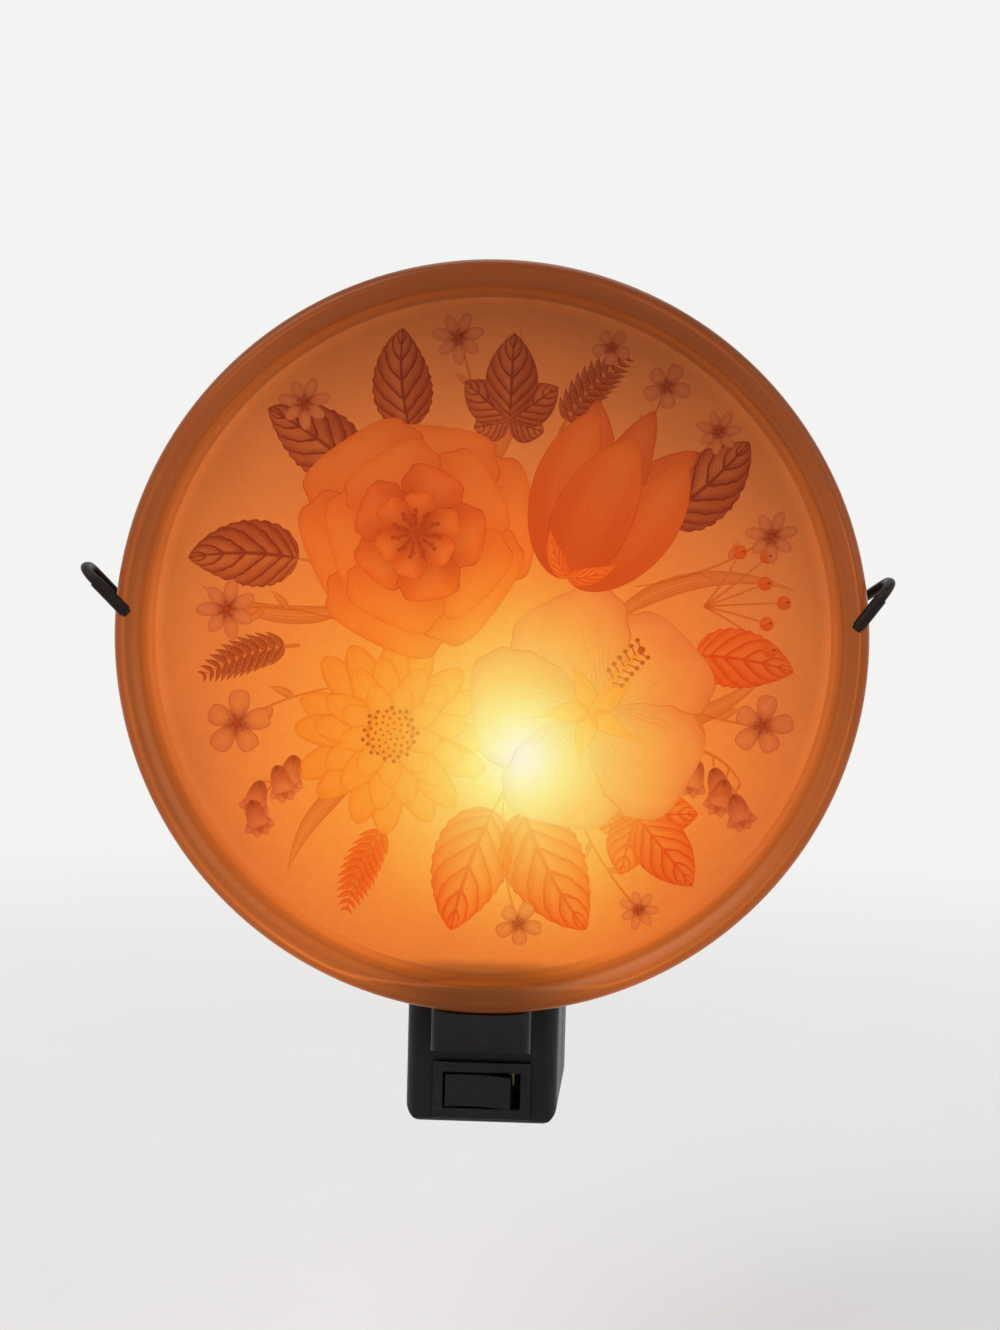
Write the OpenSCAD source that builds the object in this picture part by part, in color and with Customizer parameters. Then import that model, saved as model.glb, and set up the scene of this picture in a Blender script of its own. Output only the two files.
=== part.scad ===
// Plug-in night light: a round pressed-glass dish held by two wire hooks in front of a small plug-in lamp body.
// Millimetres. The origin is the centre of the body's rear face, +Y goes into the wall, +Z is up.

/* [Glass dish] */
// Diameter over the lip
dish_d = 120; // [114:1:124]
// Depth from the lip's front to the back of the floor
dish_depth = 11; // [10:0.5:12]
// Depth of the floor's front below the lip's front
dish_recess = 8; // [7:0.25:8]
// Radial width of the lip
lip_w = 4.4; // [4:0.2:5]
// Thickness of the lip's bead along the dish's axis
lip_t = 3.2; // [2.6:0.2:3.6]
// How far the lip stands out past the side wall
lip_overhang = 1.6; // [1:0.1:2]
// Thickness of the printed film
film_t = 0.2; // [0.1:0.05:0.3]

/* [Body] */
// Width at the wall
body_w = 27.5; // [27:0.5:30]
// Width at the front
body_front_w = 25; // [24:0.5:26]
// Depth from the wall to the front
body_depth = 30; // [29.5:0.5:32]
// Height
body_h = 24; // [24:0.5:27]
// Wall thickness of the two shells
wall = 2; // [1.8:0.1:2.2]
// Radius of the long edges
corner_r = 3; // [2:0.25:3.5]
// Radius of the upright front edges
edge_r = 2.5; // [2.2:0.1:3]
// Width of the ledge under the dish
ledge_w = 16; // [12:1:18]
// Height of the ledge's front
ledge_h = 6; // [5:0.5:7]
// Diameter of the housing screws
screw_d = 2.2; // [2:0.1:2.4]

/* [Lampholder and bulb] */
// Distance of the lamp's axis from the wall
lamp_y = 16; // [15.5:0.25:16.5]
// Outer diameter of the insulating sleeve
sleeve_d = 16.8; // [16.4:0.2:17]
// Height of the sleeve above the body
sleeve_h = 18.5; // [17:0.5:20]
// Largest diameter of the bulb's glass
bulb_d = 22.2; // [20:0.2:24]
// Length of the bulb from tip to crown
bulb_len = 54; // [52:1:56]
// Diameter over the bulb's screw thread
thread_d = 11.7; // [11.5:0.1:11.8]
// Pitch of the bulb's screw thread
thread_pitch = 2.54; // [2.4:0.02:2.6]

/* [Wire frame] */
// Diameter of the wire
wire_d = 1.6; // [1.5:0.1:2]
// Thickness of the vinyl sleeve on a hook's front leg
vinyl_t = 0.2; // [0.15:0.05:0.4]
// Distance between a hook's front and rear legs, on centres
hook_gap = 6; // [5.6:0.1:6.6]
// Height of the left front leg's end above the dish's centre
left_end_h = 2.8; // [1:0.1:4]
// Height of the right front leg's end above the dish's centre
right_end_h = 3.3; // [1:0.1:4]
// Sideways length of the left hook's front leg
left_hook_run = 7.3; // [6:0.1:8.5]
// Rise of the left hook's front leg
left_hook_rise = 7.2; // [6:0.1:8.5]
// Sideways length of the right hook's front leg
right_hook_run = 5.5; // [5:0.1:6.5]
// Rise of the right hook's front leg
right_hook_rise = 7.5; // [6.5:0.1:8.5]
// Height above the dish's centre at which the left arm goes behind the dish
left_knee_h = 1; // [0:0.5:4]
// Height above the dish's centre at which the right arm goes behind the dish
right_knee_h = 6; // [0:0.5:6.5]

/* [Plug] */
// Diameter of the turning disc
swivel_d = 18.4; // [18:0.1:18.6]
// Distance between the blades on centres
blade_pitch = 12.7; // [12.5:0.1:12.9]
// Thickness of a blade
blade_t = 1.5; // [1.3:0.1:1.6]
// Width of the line blade
line_blade_w = 6.35; // [6:0.05:6.6]
// Width of the neutral blade
neutral_blade_w = 7.94; // [7.6:0.02:8.1]
// Length of a blade outside the body
blade_len = 17; // [15.9:0.1:18.3]

/* [Rocker switch] */
// Width of the rocker
rocker_w = 11; // [10:0.5:11.5]
// Height of the rocker
rocker_h = 5.4; // [5:0.1:5.6]
// Tilt of the rocker to each side
rocker_tilt = 7; // [5:0.5:8]
// Height of the rocker's centre above the body's underside
rocker_up = 5.8; // [5.6:0.1:6.2]

/* [Hidden] */

$fn = 64;
fine = 128;          // facets of the dish
arc_step = 15;       // degrees between the rings of a bend
eps = 0.01;
running = 0.05;      // radial clearance of a running fit
slip = 0.1;          // clearance of a piece laid in its seat
clear = 0.3;         // gap between pieces that move apart

// Dish
dish_r = dish_d / 2;
body_top = body_h / 2;
dish_drop = 2.5;                                // the lip hangs this far below the body's top
dish_z = body_top - dish_drop + dish_r;
dish_back = -body_depth - 3;                    // free space between body and dish
lip_front = dish_back - dish_depth;
floor_front = lip_front + dish_recess;
inner_r = dish_r - lip_w;                       // inside of the wall at the lip
floor_r = inner_r - 0.4;                        // inside of the wall at the floor
foot_round = 0.5;                               // where the floor meets the wall
wall_r = dish_r - lip_overhang;                 // outside of the wall behind the lip
back_r = wall_r - 1.4;                          // outside of the wall at the back
back_corner_r = 1.4;
lip_round = lip_t / 2;
film_r = floor_r - foot_round - 0.05;

// Body
taper = (body_w - body_front_w) / 2 / body_depth;
taper_angle = atan(taper);
function half_w(y, inset = 0) = body_w / 2 + taper * y - inset / cos(taper_angle);
front_edge_r = 1.5;
parting = -lamp_y;

// Plug
swivel_r = swivel_d / 2;
swivel_bore = swivel_r + running;
flange_r = swivel_r + 0.5;
blade_nose = 1.2;                               // chamfer of a blade's end
flange_t = 1.2;
flange_front = -wall - slip - flange_t;
disc_tail = 1.1;                                // the flange's hub that steadies the blades

// Contact plate and rings
ring_t = 0.4;
ring_y = flange_front - disc_tail - 1.5;        // face that the blades' tails wipe
wiper_r = 0.8;
wiper_y = ring_y + slip;
plate_y = ring_y - ring_t;
plate_t = 1.6;
plate_r = blade_pitch / 2 + 1.45;
ring_in = blade_pitch / 2 - 1.15;
ring_out = blade_pitch / 2 + 0.85;
hub_ring_r = 3;
tab_w = 2;
tab_t = 0.5;
tab_end = plate_y - plate_t - 1.7;              // where the leads start
hub_tab_x = -2.2;
ear_x = half_w(plate_y - plate_t, wall) - 0.5;
post_r = 0.8;
post_x = ear_x - post_r;
post_z = sqrt(pow(flange_r + clear + post_r, 2) - pow(post_x, 2));  // just outside the turning flange
pin_r = 0.5;
stake_h = 0.7;

// Housing screws
screw_r = screw_d / 2;
head_r = screw_r * 1.75;
head_t = 1.4;
head_seat = -wall - 1;                          // face under the head
screw_z = -body_top + head_r + 1.7;
boss_r = screw_r + 1;
screw_end = parting - 6;
screw_x = half_w(screw_end, boss_r);

// Lampholder
sleeve_r = sleeve_d / 2;
shell_r = thread_d / 2 + clear;                 // inside of the screw shell
shell_t = 0.4;
bore_r = shell_r + shell_t + running;           // inside of the sleeve
flange_over = 0.9;
holder_flange_r = sleeve_r + flange_over;
holder_flange_t = 1.2;
holder_bottom = body_top - wall - slip - holder_flange_t;
sleeve_top = body_top + sleeve_h;
base_bottom = body_top - wall + 0.6;
base_t = 2.6;
base_top = base_bottom + base_t;
contact_t = 1;
contact_r = 2.2;
contact_step = 0.4;
shell_lip = 1.9;                                // the screw shell's turned-in foot
shell_tail = [1.6, 0.4];                        // width and thickness of the holder's tails
centre_tail = [2.4, 0.8];
tail_z = holder_bottom - 2.1;                   // lower end of the holder's tails
shell_tail_x = -5.3;
shell_top = sleeve_top - 1;

// Bulb
tip_z = base_top + contact_t + clear;
thread_r = thread_d / 2;
tip_h = 1.4;
insulator_h = 1.8;
insulator_r = 3;
threads = 4;
crest_r = 0.75;                                 // roundness of a thread's crest
thread_start = tip_z + tip_h + insulator_h;
collar_z = thread_start + threads * thread_pitch;
collar_top = collar_z + 3;
neck_r = thread_r - 0.7;
glass_t = 0.6;
bulb_top = tip_z + bulb_len;
bulb_r = bulb_d / 2;
belly_z = collar_top + (bulb_top - collar_top) * 0.42;
filament_z = belly_z + 2;

// Wire frame
wire_r = wire_d / 2;
vinyl_r = wire_r + vinyl_t;
bend_r = (hook_gap / 2) - 0.05;
leg_y = lip_front - clear - vinyl_r;            // front legs of the hooks
rear_leg_y = leg_y + hook_gap;
foot_x = sleeve_r + wire_r + 1.1;               // where the wire leaves the body
foot_z = body_top + 2;
run_z = body_top - wall - 5.5;                  // the wire's run inside the body
run_bend = 2.5;
end_x = dish_r - lip_w / 2 - 0.4;
left_hook = [left_hook_run, left_end_h, left_end_h + left_hook_rise, left_knee_h];
right_hook = [right_hook_run, right_end_h, right_end_h + right_hook_rise, right_knee_h];
knee_r = back_r + 0.5;                          // where the wire goes behind the dish
knee_y = dish_back + wire_r + 0.8;
knee_bend = 5;
foot_bend = 4;
wire_sides = 16;
end_bare = 0.6;                                 // bare wire that shows at a sleeve's end

// Leads
lead_r = 0.7;
lead_bend = 1.4;
lead_sides = 10;
lead_y = tab_end - 2.2;                         // plane in which the leads climb
lead_reach = 4.2;                               // from that plane to the switch's terminals
lead_join_z = tail_z + 1;

// Rocker switch
rocker_z = -body_top + rocker_up;
throat_w = rocker_w + 1.8;
throat_h = rocker_h + 2 * clear;
case_wall = 0.6;
bezel_t = 1;
bezel_over = 1.2;
pivot_y = -body_depth + 3;
trunnion_r = 0.8;
case_half_w = throat_w / 2 + case_wall;
case_half_h = throat_h / 2 + case_wall;
case_floor = 0.8;
tail_len = 2;                                   // of a terminal behind the case
terminal_tail = lead_y - lead_reach;
case_end = terminal_tail - tail_len;
case_back = case_end - case_floor;
case_room = case_back - pivot_y;                // depth behind the pivot, shared out to the moving pieces
stem_r = 2;
stem_end = pivot_y + 0.3 * case_room;
bore_end = pivot_y - 1.5;
plunger_r = 1;
plunger_back = 0.1 * case_room;                 // from the pivot to the plunger's back
tip_reach = 0.6 * case_room;                    // from the pivot to the plunger's tip
lever_y = pivot_y + 0.66 * case_room;
lever_t = 0.4;
lever_w = 10;
lever_h = 2.4;
lever_tilt = rocker_tilt * 0.7;
terminal_t = 1.4;
terminal_h = 3;
line_x = lever_w / 2 - 0.5;
line_contact_y = lever_y + lever_t / 2 + lever_w / 2 * sin(lever_tilt) + clear;
common_y = lever_y + lever_t / 2 + clear;

black = "#15120f";

// ---- Shapes that repeat ----

function unit(v) = v / norm(v);
function turn(a, b, c) = acos(max(-1, min(1, unit(b - a) * unit(c - b))));
function columns(x, y, z, o) = [[x.x, y.x, z.x, o.x], [x.y, y.y, z.y, o.y], [x.z, y.z, z.z, o.z], [0, 0, 0, 1]];

// A round rod from a to b
module rod(a, b, r) {
    z = unit(b - a);
    x = unit(cross(z, abs(z.z) < 0.9 ? [0, 0, 1] : [1, 0, 0]));
    multmatrix(columns(x, cross(z, x), z, a)) cylinder(r = r, h = norm(b - a));
}

// Points of the arc that rounds the corner b between a and c
function corner_arc(a, b, c, bend) = let (angle = turn(a, b, c), u = unit(b - a), n = unit(cross(u, unit(c - b))),
    w = cross(n, u), start = b - u * bend * tan(angle / 2), steps = max(2, ceil(angle / arc_step)))
    [for (i = [0 : steps]) let (t = angle * i / steps) start + w * bend * (1 - cos(t)) + u * bend * sin(t)];
function rounded(path, bends) = concat([path[0]],
    [for (i = [1 : len(path) - 2]) each corner_arc(path[i - 1], path[i], path[i + 1], bends[i])],
    [path[len(path) - 1]]);
function tangents(p) = [for (i = [0 : len(p) - 1]) unit((i == 0 ? [0, 0, 0] : unit(p[i] - p[i - 1]))
    + (i == len(p) - 1 ? [0, 0, 0] : unit(p[i + 1] - p[i])))];
// One normal per point, carried along so that the rod doesn't twist
function normals(t) = let (first = unit(cross(t[0], abs(t[0].z) < 0.9 ? [0, 0, 1] : [1, 0, 0])))
    [for (i = 0, n = first; i < len(t); i = i + 1, n = i < len(t) ? unit(n - t[i] * (n * t[i])) : n) n];

// A rod through a list of points
module swept_rod(p, r, sides) {
    t = tangents(p);
    n = normals(t);
    last = len(p) - 1;
    rings = [for (i = [0 : last], k = [0 : sides - 1]) let (a = 360 * k / sides)
        p[i] + r * (n[i] * cos(a) + cross(t[i], n[i]) * sin(a))];
    function at(i, k) = i * sides + k % sides;
    ends = [[for (k = [0 : sides - 1]) k], [for (k = [sides - 1 : -1 : 0]) at(last, k)]];
    walls = [for (i = [0 : last - 1], k = [0 : sides - 1], half = [0, 1])
        half == 0 ? [at(i, k), at(i + 1, k + 1), at(i, k + 1)] : [at(i, k), at(i + 1, k), at(i + 1, k + 1)]];
    polyhedron(rings, concat(ends, walls), convexity = 10);
}

// A bent rod along straight stretches, with its own bend radius at each inner point
module bent_rod(path, r, bends, sides) {
    swept_rod(rounded(path, bends), r, sides);
}

// A disc or rod along +Y, from y0 to y1
module along_y(r, y0, y1, x = 0, z = 0) {
    translate([x, y0, z]) rotate([-90, 0, 0]) cylinder(r = r, h = y1 - y0);
}

// A box given by its low and high corners
module block(low, high) {
    translate(low) cube(high - low);
}

// An outline in (radius, y) turned about the dish's axis
module turned_about_dish() {
    translate([0, 0, dish_z]) rotate([-90, 0, 0]) rotate_extrude($fn = fine) children();
}

// An outline in (radius, z) turned about the lamp's axis
module turned_about_lamp() {
    translate([0, -lamp_y, 0]) rotate_extrude() children();
}

// ---- Plug ----

module blade_shape(x, w, wiper_x) {
    block([x - blade_t / 2, flange_front - disc_tail, -w / 2], [x + blade_t / 2, blade_len - blade_nose, w / 2]);
    translate([x, 0, 0]) rotate([90, 0, 90]) translate([0, 0, -blade_t / 2]) linear_extrude(blade_t)
        polygon([[blade_len - blade_nose - eps, -w / 2], [blade_len, -w / 2 + blade_nose], [blade_len, w / 2 - blade_nose],
            [blade_len - blade_nose - eps, w / 2]]);
    block([min(x - blade_t / 2, wiper_x - wiper_r), wiper_y + 0.6, -wiper_r],
        [max(x + blade_t / 2, wiper_x + wiper_r), wiper_y + 1.2, wiper_r]);
    block([x - blade_t / 2, wiper_y + 0.6, -wiper_r], [x + blade_t / 2, flange_front - disc_tail + eps, wiper_r]);
    along_y(wiper_r, wiper_y, wiper_y + 0.7, wiper_x);
}

module blade_slots() {
    for (blade = [[blade_pitch / 2, line_blade_w], [-blade_pitch / 2, neutral_blade_w]])
        block([blade[0] - blade_t / 2 - 0.02, flange_front - disc_tail - 1, -blade[1] / 2 - 0.02],
            [blade[0] + blade_t / 2 + 0.02, 1, blade[1] / 2 + 0.02]);
}

module swivel_disc() {
    color(black) difference() {
        union() {
            along_y(swivel_r, flange_front, 0);
            along_y(flange_r, flange_front, flange_front + flange_t);
            along_y(swivel_r - 1, flange_front - disc_tail, flange_front);
        }
        blade_slots();
    }
}

module line_blade() {
    color("#c9a44c") blade_shape(blade_pitch / 2, line_blade_w, blade_pitch / 2);
}

module neutral_blade() {
    color("#c9a44c") blade_shape(-blade_pitch / 2, neutral_blade_w, -1.2 * wiper_r);
}

// ---- Body ----

// Seen from above: the sides close in towards a front with round edges
module plan(inset, rear, front) {
    r = max(edge_r - inset, 0.4);
    yc = -(front - r);
    xc = half_w(yc, inset + r);
    side = [xc + r * cos(taper_angle), yc - r * sin(taper_angle)];
    polygon([[half_w(-rear, inset), -rear], side, [xc, -front], [-xc, -front], [-side.x, side.y],
        [-half_w(-rear, inset), -rear]]);
    for (s = [-1, 1]) translate([s * xc, yc]) circle(r);
}

// What rounds one of the four long edges off
module long_edge(side, up) {
    translate([side * body_w / 2, 0, up * body_top]) rotate([0, 0, -side * taper_angle])
        translate([-side * corner_r, 0, -up * corner_r]) difference() {
            translate([side > 0 ? 0 : -corner_r - 1, -body_depth - 2, up > 0 ? 0 : -corner_r - 1])
                cube([corner_r + 1, body_depth + 4, corner_r + 1]);
            along_y(corner_r, -body_depth - 3, 3);
        }
}

// What rounds the front's lower edge off
module lower_front_edge() {
    translate([0, -body_depth + front_edge_r, -body_top + front_edge_r]) difference() {
        block([-body_w, -front_edge_r - 1, -front_edge_r - 1], [body_w, 0, 0]);
        rotate([0, 90, 0]) cylinder(r = front_edge_r, h = 4 * body_w, center = true);
    }
}

module body_outside() {
    difference() {
        translate([0, 0, -body_top]) linear_extrude(body_h) plan(0, 0, body_depth);
        for (side = [-1, 1], up = [-1, 1]) long_edge(side, up);
        lower_front_edge();
    }
}

module body_shell() {
    difference() {
        body_outside();
        translate([0, 0, -body_top + wall]) linear_extrude(body_h - 2 * wall) plan(wall, wall, body_depth - wall);
        translate([0, -lamp_y, body_top - wall - 1]) cylinder(r = sleeve_r + slip, h = wall + 2);
        for (s = [-1, 1]) translate([s * foot_x, -lamp_y, run_z - wire_r - slip])
            cylinder(r = wire_r + slip, h = body_top - run_z + wire_r + slip + 1);
    }
}

// Small shelves on the side walls, under the wire's run
module wire_shelves(y0, y1) {
    for (s = [-1, 1]) intersection() {
        body_outside();
        translate([s * body_w / 2, 0, 0]) block([-body_w / 2 + holder_flange_r - 1.5, y0, run_z - wire_r - slip - 1],
            [body_w / 2 - holder_flange_r + 1.5, y1, run_z - wire_r - slip]);
    }
}

module screw_bosses(y0, y1) {
    intersection() {
        body_outside();
        for (s = [-1, 1]) along_y(boss_r, y0, y1, s * screw_x, screw_z);
    }
}

module plate_posts() {
    for (s = [-1, 1], z = [-post_z, post_z]) {
        along_y(post_r, plate_y, -wall + eps, s * post_x, z);
        along_y(pin_r, plate_y - plate_t - stake_h, plate_y + eps, s * post_x, z);
    }
}

module rear_housing() {
    color(black) difference() {
        union() {
            intersection() {
                body_shell();
                block([-body_w, parting, -body_h], [body_w, 1, body_h]);
            }
            screw_bosses(parting, -wall + eps);
            wire_shelves(parting, parting + 2.2);
            plate_posts();
        }
        along_y(swivel_bore, -wall - 1, 1);
        for (s = [-1, 1]) {
            along_y(head_r + slip, head_seat, 1, s * screw_x, screw_z);
            along_y(screw_r + slip, parting - 1, head_seat + eps, s * screw_x, screw_z);
        }
    }
}

// The ledge that carries the dish's lip, hollowed to the lip's own round
module ledge() {
    top = dish_z - dish_r + 1;
    low = dish_z - dish_r - clear - ledge_h;
    front = lip_front + 1;
    foot = rocker_z + case_half_h + bezel_over + 1.4;  // just above the switch's bezel
    round_r = 2;
    difference() {
        intersection() {
            rotate([90, 0, 90]) translate([0, 0, -ledge_w / 2]) linear_extrude(ledge_w)
                polygon([[-body_depth + 0.5, top], [front, top], [front, low],
                    [-body_depth, foot], [-body_depth + 0.5, foot]]);
            translate([0, 0, -body_h]) linear_extrude(3 * body_h) union() {
                translate([-ledge_w / 2, front + round_r]) square([ledge_w, -front]);
                for (s = [-1, 1]) translate([s * (ledge_w / 2 - round_r), front + round_r]) circle(round_r);
                translate([-ledge_w / 2 + round_r, front]) square([ledge_w - 2 * round_r, round_r + 1]);
            }
        }
        along_y(dish_r + clear, front - 2, -body_depth + 2, 0, dish_z, $fn = fine);
    }
}

module front_housing() {
    color(black) difference() {
        union() {
            intersection() {
                body_shell();
                block([-body_w, -body_depth - 1, -body_h], [body_w, parting, body_h]);
            }
            screw_bosses(screw_end - 1, parting);
            wire_shelves(parting - 2.2, parting);
            ledge();
        }
        for (s = [-1, 1]) along_y(screw_r + 0.02, screw_end - 0.5, parting + 1, s * screw_x, screw_z);
        block([-case_half_w - slip, -body_depth - 1, rocker_z - case_half_h - slip],
            [case_half_w + slip, -body_depth + wall + 1, rocker_z + case_half_h + slip]);
    }
}

module housing_screws() {
    color("#b9b9b4") for (s = [-1, 1]) difference() {
        union() {
            along_y(head_r, head_seat, head_seat + head_t, s * screw_x, screw_z);
            along_y(screw_r, screw_end, head_seat + eps, s * screw_x, screw_z);
        }
        for (a = [0, 90]) translate([s * screw_x, head_seat + head_t, screw_z]) rotate([0, a, 0])
            cube([head_r * 1.2, 1.2, 0.5], center = true);
    }
}

// ---- Contact plate and rings ----

module contact_plate() {
    color("#8a6a45") difference() {
        union() {
            along_y(plate_r, plate_y - plate_t, plate_y);
            block([-ear_x, plate_y - plate_t, -post_z - 1.2], [ear_x, plate_y, post_z + 1.2]);
        }
        for (s = [-1, 1], z = [-post_z, post_z])
            along_y(pin_r + running, plate_y - plate_t - 1, plate_y + 1, s * post_x, z);
        for (x = [(ring_in + ring_out) / 2, hub_tab_x])
            block([x - tab_w / 2 - running, plate_y - plate_t - 1, -tab_t / 2 - running],
                [x + tab_w / 2 + running, plate_y + 1, tab_t / 2 + running]);
    }
}

module ring_tab(x) {
    block([x - tab_w / 2, tab_end, -tab_t / 2], [x + tab_w / 2, plate_y + eps, tab_t / 2]);
}

module outer_ring() {
    color("#c79a3e") {
        difference() {
            along_y(ring_out, plate_y, ring_y);
            along_y(ring_in, plate_y - 1, ring_y + 1);
        }
        ring_tab((ring_in + ring_out) / 2);
    }
}

module inner_ring() {
    color("#c79a3e") {
        along_y(hub_ring_r, plate_y, ring_y);
        ring_tab(hub_tab_x);
    }
}

// ---- Lampholder ----

module lampholder_sleeve() {
    color(black) turned_about_lamp() difference() {
        union() {
            translate([0, holder_bottom]) square([holder_flange_r, holder_flange_t]);
            translate([0, holder_bottom]) square([sleeve_r, sleeve_top - holder_bottom - 0.6]);
            translate([0, sleeve_top - 1]) square([sleeve_r - 0.6, 1]);
            translate([sleeve_r - 0.6, sleeve_top - 0.6]) circle(0.6);
        }
        translate([-1, holder_bottom - 1]) square([bore_r + 1, sleeve_top - holder_bottom + 2]);
    }
}

// A flat tail that hangs from the lampholder, and the slot that it passes through
module tail(x, size, top) {
    block([x - size.x / 2, -lamp_y - size.y / 2, tail_z], [x + size.x / 2, -lamp_y + size.y / 2, top]);
}

module tail_slot(x, size) {
    block([x - size.x / 2 - slip, -lamp_y - size.y / 2 - slip, base_bottom - 1],
        [x + size.x / 2 + slip, -lamp_y + size.y / 2 + slip, base_top + 1]);
}

module lampholder_base() {
    color("#d8cfc0") difference() {
        translate([0, -lamp_y, base_bottom]) cylinder(r = bore_r - running, h = base_top - base_bottom);
        tail_slot(0, centre_tail);
        tail_slot(shell_tail_x, shell_tail);
    }
}

module screw_shell() {
    color("#c79a3e") {
        turned_about_lamp() union() {
            translate([shell_r, base_top]) square([shell_t, shell_top - base_top]);
            translate([shell_r - shell_lip, base_top]) square([shell_lip + eps, shell_t]);
        }
        tail(shell_tail_x, shell_tail, base_top + shell_t);
    }
}

module centre_contact() {
    color("#c79a3e") {
        translate([0, -lamp_y, base_top]) cylinder(r = contact_r, h = contact_t - contact_step);
        translate([0, -lamp_y, base_top]) cylinder(r = contact_r - 0.8, h = contact_t);
        tail(0, centre_tail, base_top + eps);
    }
}

// ---- Wire frame ----

// A hook is [sideways run, end's height, top's height, knee's height], with the heights above the dish's centre.
function hook_end(s, hook) = [s * end_x, leg_y, dish_z + hook[1]];
function hook_top(s, hook, y) = [s * (end_x + hook[0]), y, dish_z + hook[2]];
function knee(s, hook) = [s * knee_r, knee_y, dish_z + hook[3]];
function arm(s, hook) = [hook_end(s, hook), hook_top(s, hook, leg_y), hook_top(s, hook, rear_leg_y),
    knee(s, hook), [s * foot_x, -lamp_y, foot_z], [s * foot_x, -lamp_y, run_z]];
function reversed(path) = [for (i = [len(path) - 1 : -1 : 0]) path[i]];

module wire_frame() {
    half_bends = [0, bend_r, bend_r, knee_bend, foot_bend, run_bend];
    color(black) bent_rod(concat(arm(-1, left_hook), reversed(arm(1, right_hook))), wire_r,
        concat(half_bends, reversed(half_bends)), wire_sides);
}

module hook_sleeve(s, hook) {
    end = hook_end(s, hook);
    top = hook_top(s, hook, leg_y);
    along = unit(top - end);
    difference() {
        rod(end + along * end_bare, top - along * bend_r, vinyl_r);
        rod(end - along, top + along, wire_r + 0.01);
    }
}

module hook_sleeves() {
    color("#1b130e") {
        hook_sleeve(-1, left_hook);
        hook_sleeve(1, right_hook);
    }
}

// ---- Rocker switch ----

module switch_case() {
    color(black) difference() {
        union() {
            block([-case_half_w - bezel_over, -body_depth - bezel_t, rocker_z - case_half_h - bezel_over],
                [case_half_w + bezel_over, -body_depth, rocker_z + case_half_h + bezel_over]);
            block([-case_half_w, -body_depth - eps, rocker_z - case_half_h],
                [case_half_w, case_end, rocker_z + case_half_h]);
        }
        block([-throat_w / 2, -body_depth - bezel_t - 1, rocker_z - throat_h / 2],
            [throat_w / 2, case_back, rocker_z + throat_h / 2]);
        translate([0, pivot_y, rocker_z]) cylinder(r = trunnion_r + running, h = 4 * throat_h, center = true);
        for (x = [0, line_x]) terminal(x, case_back - 1, case_end + 1, running);
    }
}

// A switch terminal's bar from y0 to y1, or its slot where grown is the clearance
module terminal(x, y0, y1, grown = 0) {
    block([x - terminal_t / 2 - grown, y0, rocker_z - terminal_h / 2 - grown],
        [x + terminal_t / 2 + grown, y1, rocker_z + terminal_h / 2 + grown]);
}

module common_terminal() {
    color("#c79a3e") terminal(0, common_y, terminal_tail);
}

module line_terminal() {
    color("#c79a3e") terminal(line_x, line_contact_y, terminal_tail);
}

// Places a piece of the rocker, drawn about its pivot, at its tilt
module tilted(angle, y) {
    translate([0, y, rocker_z]) rotate([0, 0, angle]) children();
}

module rocker() {
    depth = 4;
    color(black) tilted(-rocker_tilt, pivot_y) difference() {
        union() {
            translate([0, 0, -rocker_h / 2]) linear_extrude(rocker_h)
                polygon([[-rocker_w / 2, -depth - 1.1], [-rocker_w / 4, -depth - 0.3], [0, -depth],
                    [rocker_w / 4, -depth - 0.3], [rocker_w / 2, -depth - 1.1], [rocker_w / 2, -depth + 1.6],
                    [stem_r + 1, -0.6], [-stem_r - 1, -0.6], [-rocker_w / 2, -depth + 1.6]]);
            block([-stem_r, -1, -stem_r], [stem_r, stem_end - pivot_y, stem_r]);
            difference() {
                cylinder(r = trunnion_r, h = throat_h + 2 * case_wall, center = true);
                block([-3, -3, -rocker_h / 2 + eps], [3, 3, rocker_h / 2 - eps]);
            }
            for (up = [-1, 1]) translate([0, 0, up * (rocker_h / 2 - 0.35)])
                linear_extrude(0.7, center = true) union() {
                    circle(trunnion_r + 0.6);
                    translate([-trunnion_r - 0.6, -1.4]) square([2 * trunnion_r + 1.2, 1.4]);
                }
        }
        along_y(plunger_r + running, bore_end - pivot_y, stem_end - pivot_y + 1);
    }
}

module plunger() {
    color("#e4e0d6") tilted(-rocker_tilt, pivot_y) {
        along_y(plunger_r, plunger_back, tip_reach - plunger_r);
        translate([0, tip_reach - plunger_r, 0]) sphere(r = plunger_r);
    }
}

// A coil spring between the rocker's bore and the plunger
module plunger_spring() {
    coil_r = plunger_r - 0.3;
    wire = 0.14;
    turns = 4;
    steps = 16;
    low = bore_end - pivot_y + wire + 0.02;
    high = plunger_back - wire - 0.02;
    coil = [for (i = [0 : turns * steps]) let (a = 360 * i / steps)
        [coil_r * cos(a), low + (high - low) * i / turns / steps, coil_r * sin(a)]];
    color("silver") tilted(-rocker_tilt, pivot_y) swept_rod(coil, wire, 8);
}

module contact_lever() {
    color("#c79a3e") tilted(lever_tilt, lever_y)
        block([-lever_w / 2, -lever_t / 2, -lever_h / 2], [lever_w / 2, lever_t / 2, lever_h / 2]);
}

// ---- Leads inside the body ----

module lead(path, shade) {
    color(shade) bent_rod(path, lead_r, [for (p = path) lead_bend], lead_sides);
}

module line_lead() {
    x = (ring_in + ring_out) / 2;
    lead([[x, tab_end, 0], [x, lead_y - 0.6, 0], [line_x, lead_y - 0.6, rocker_z], [line_x, terminal_tail, rocker_z]],
        "#262220");
}

module switched_lead() {
    lead([[0, terminal_tail, rocker_z], [0, lead_y, rocker_z], [0, lead_y, lead_join_z],
        [0, -lamp_y + centre_tail.y / 2, lead_join_z]], "#3a3430");
}

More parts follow.
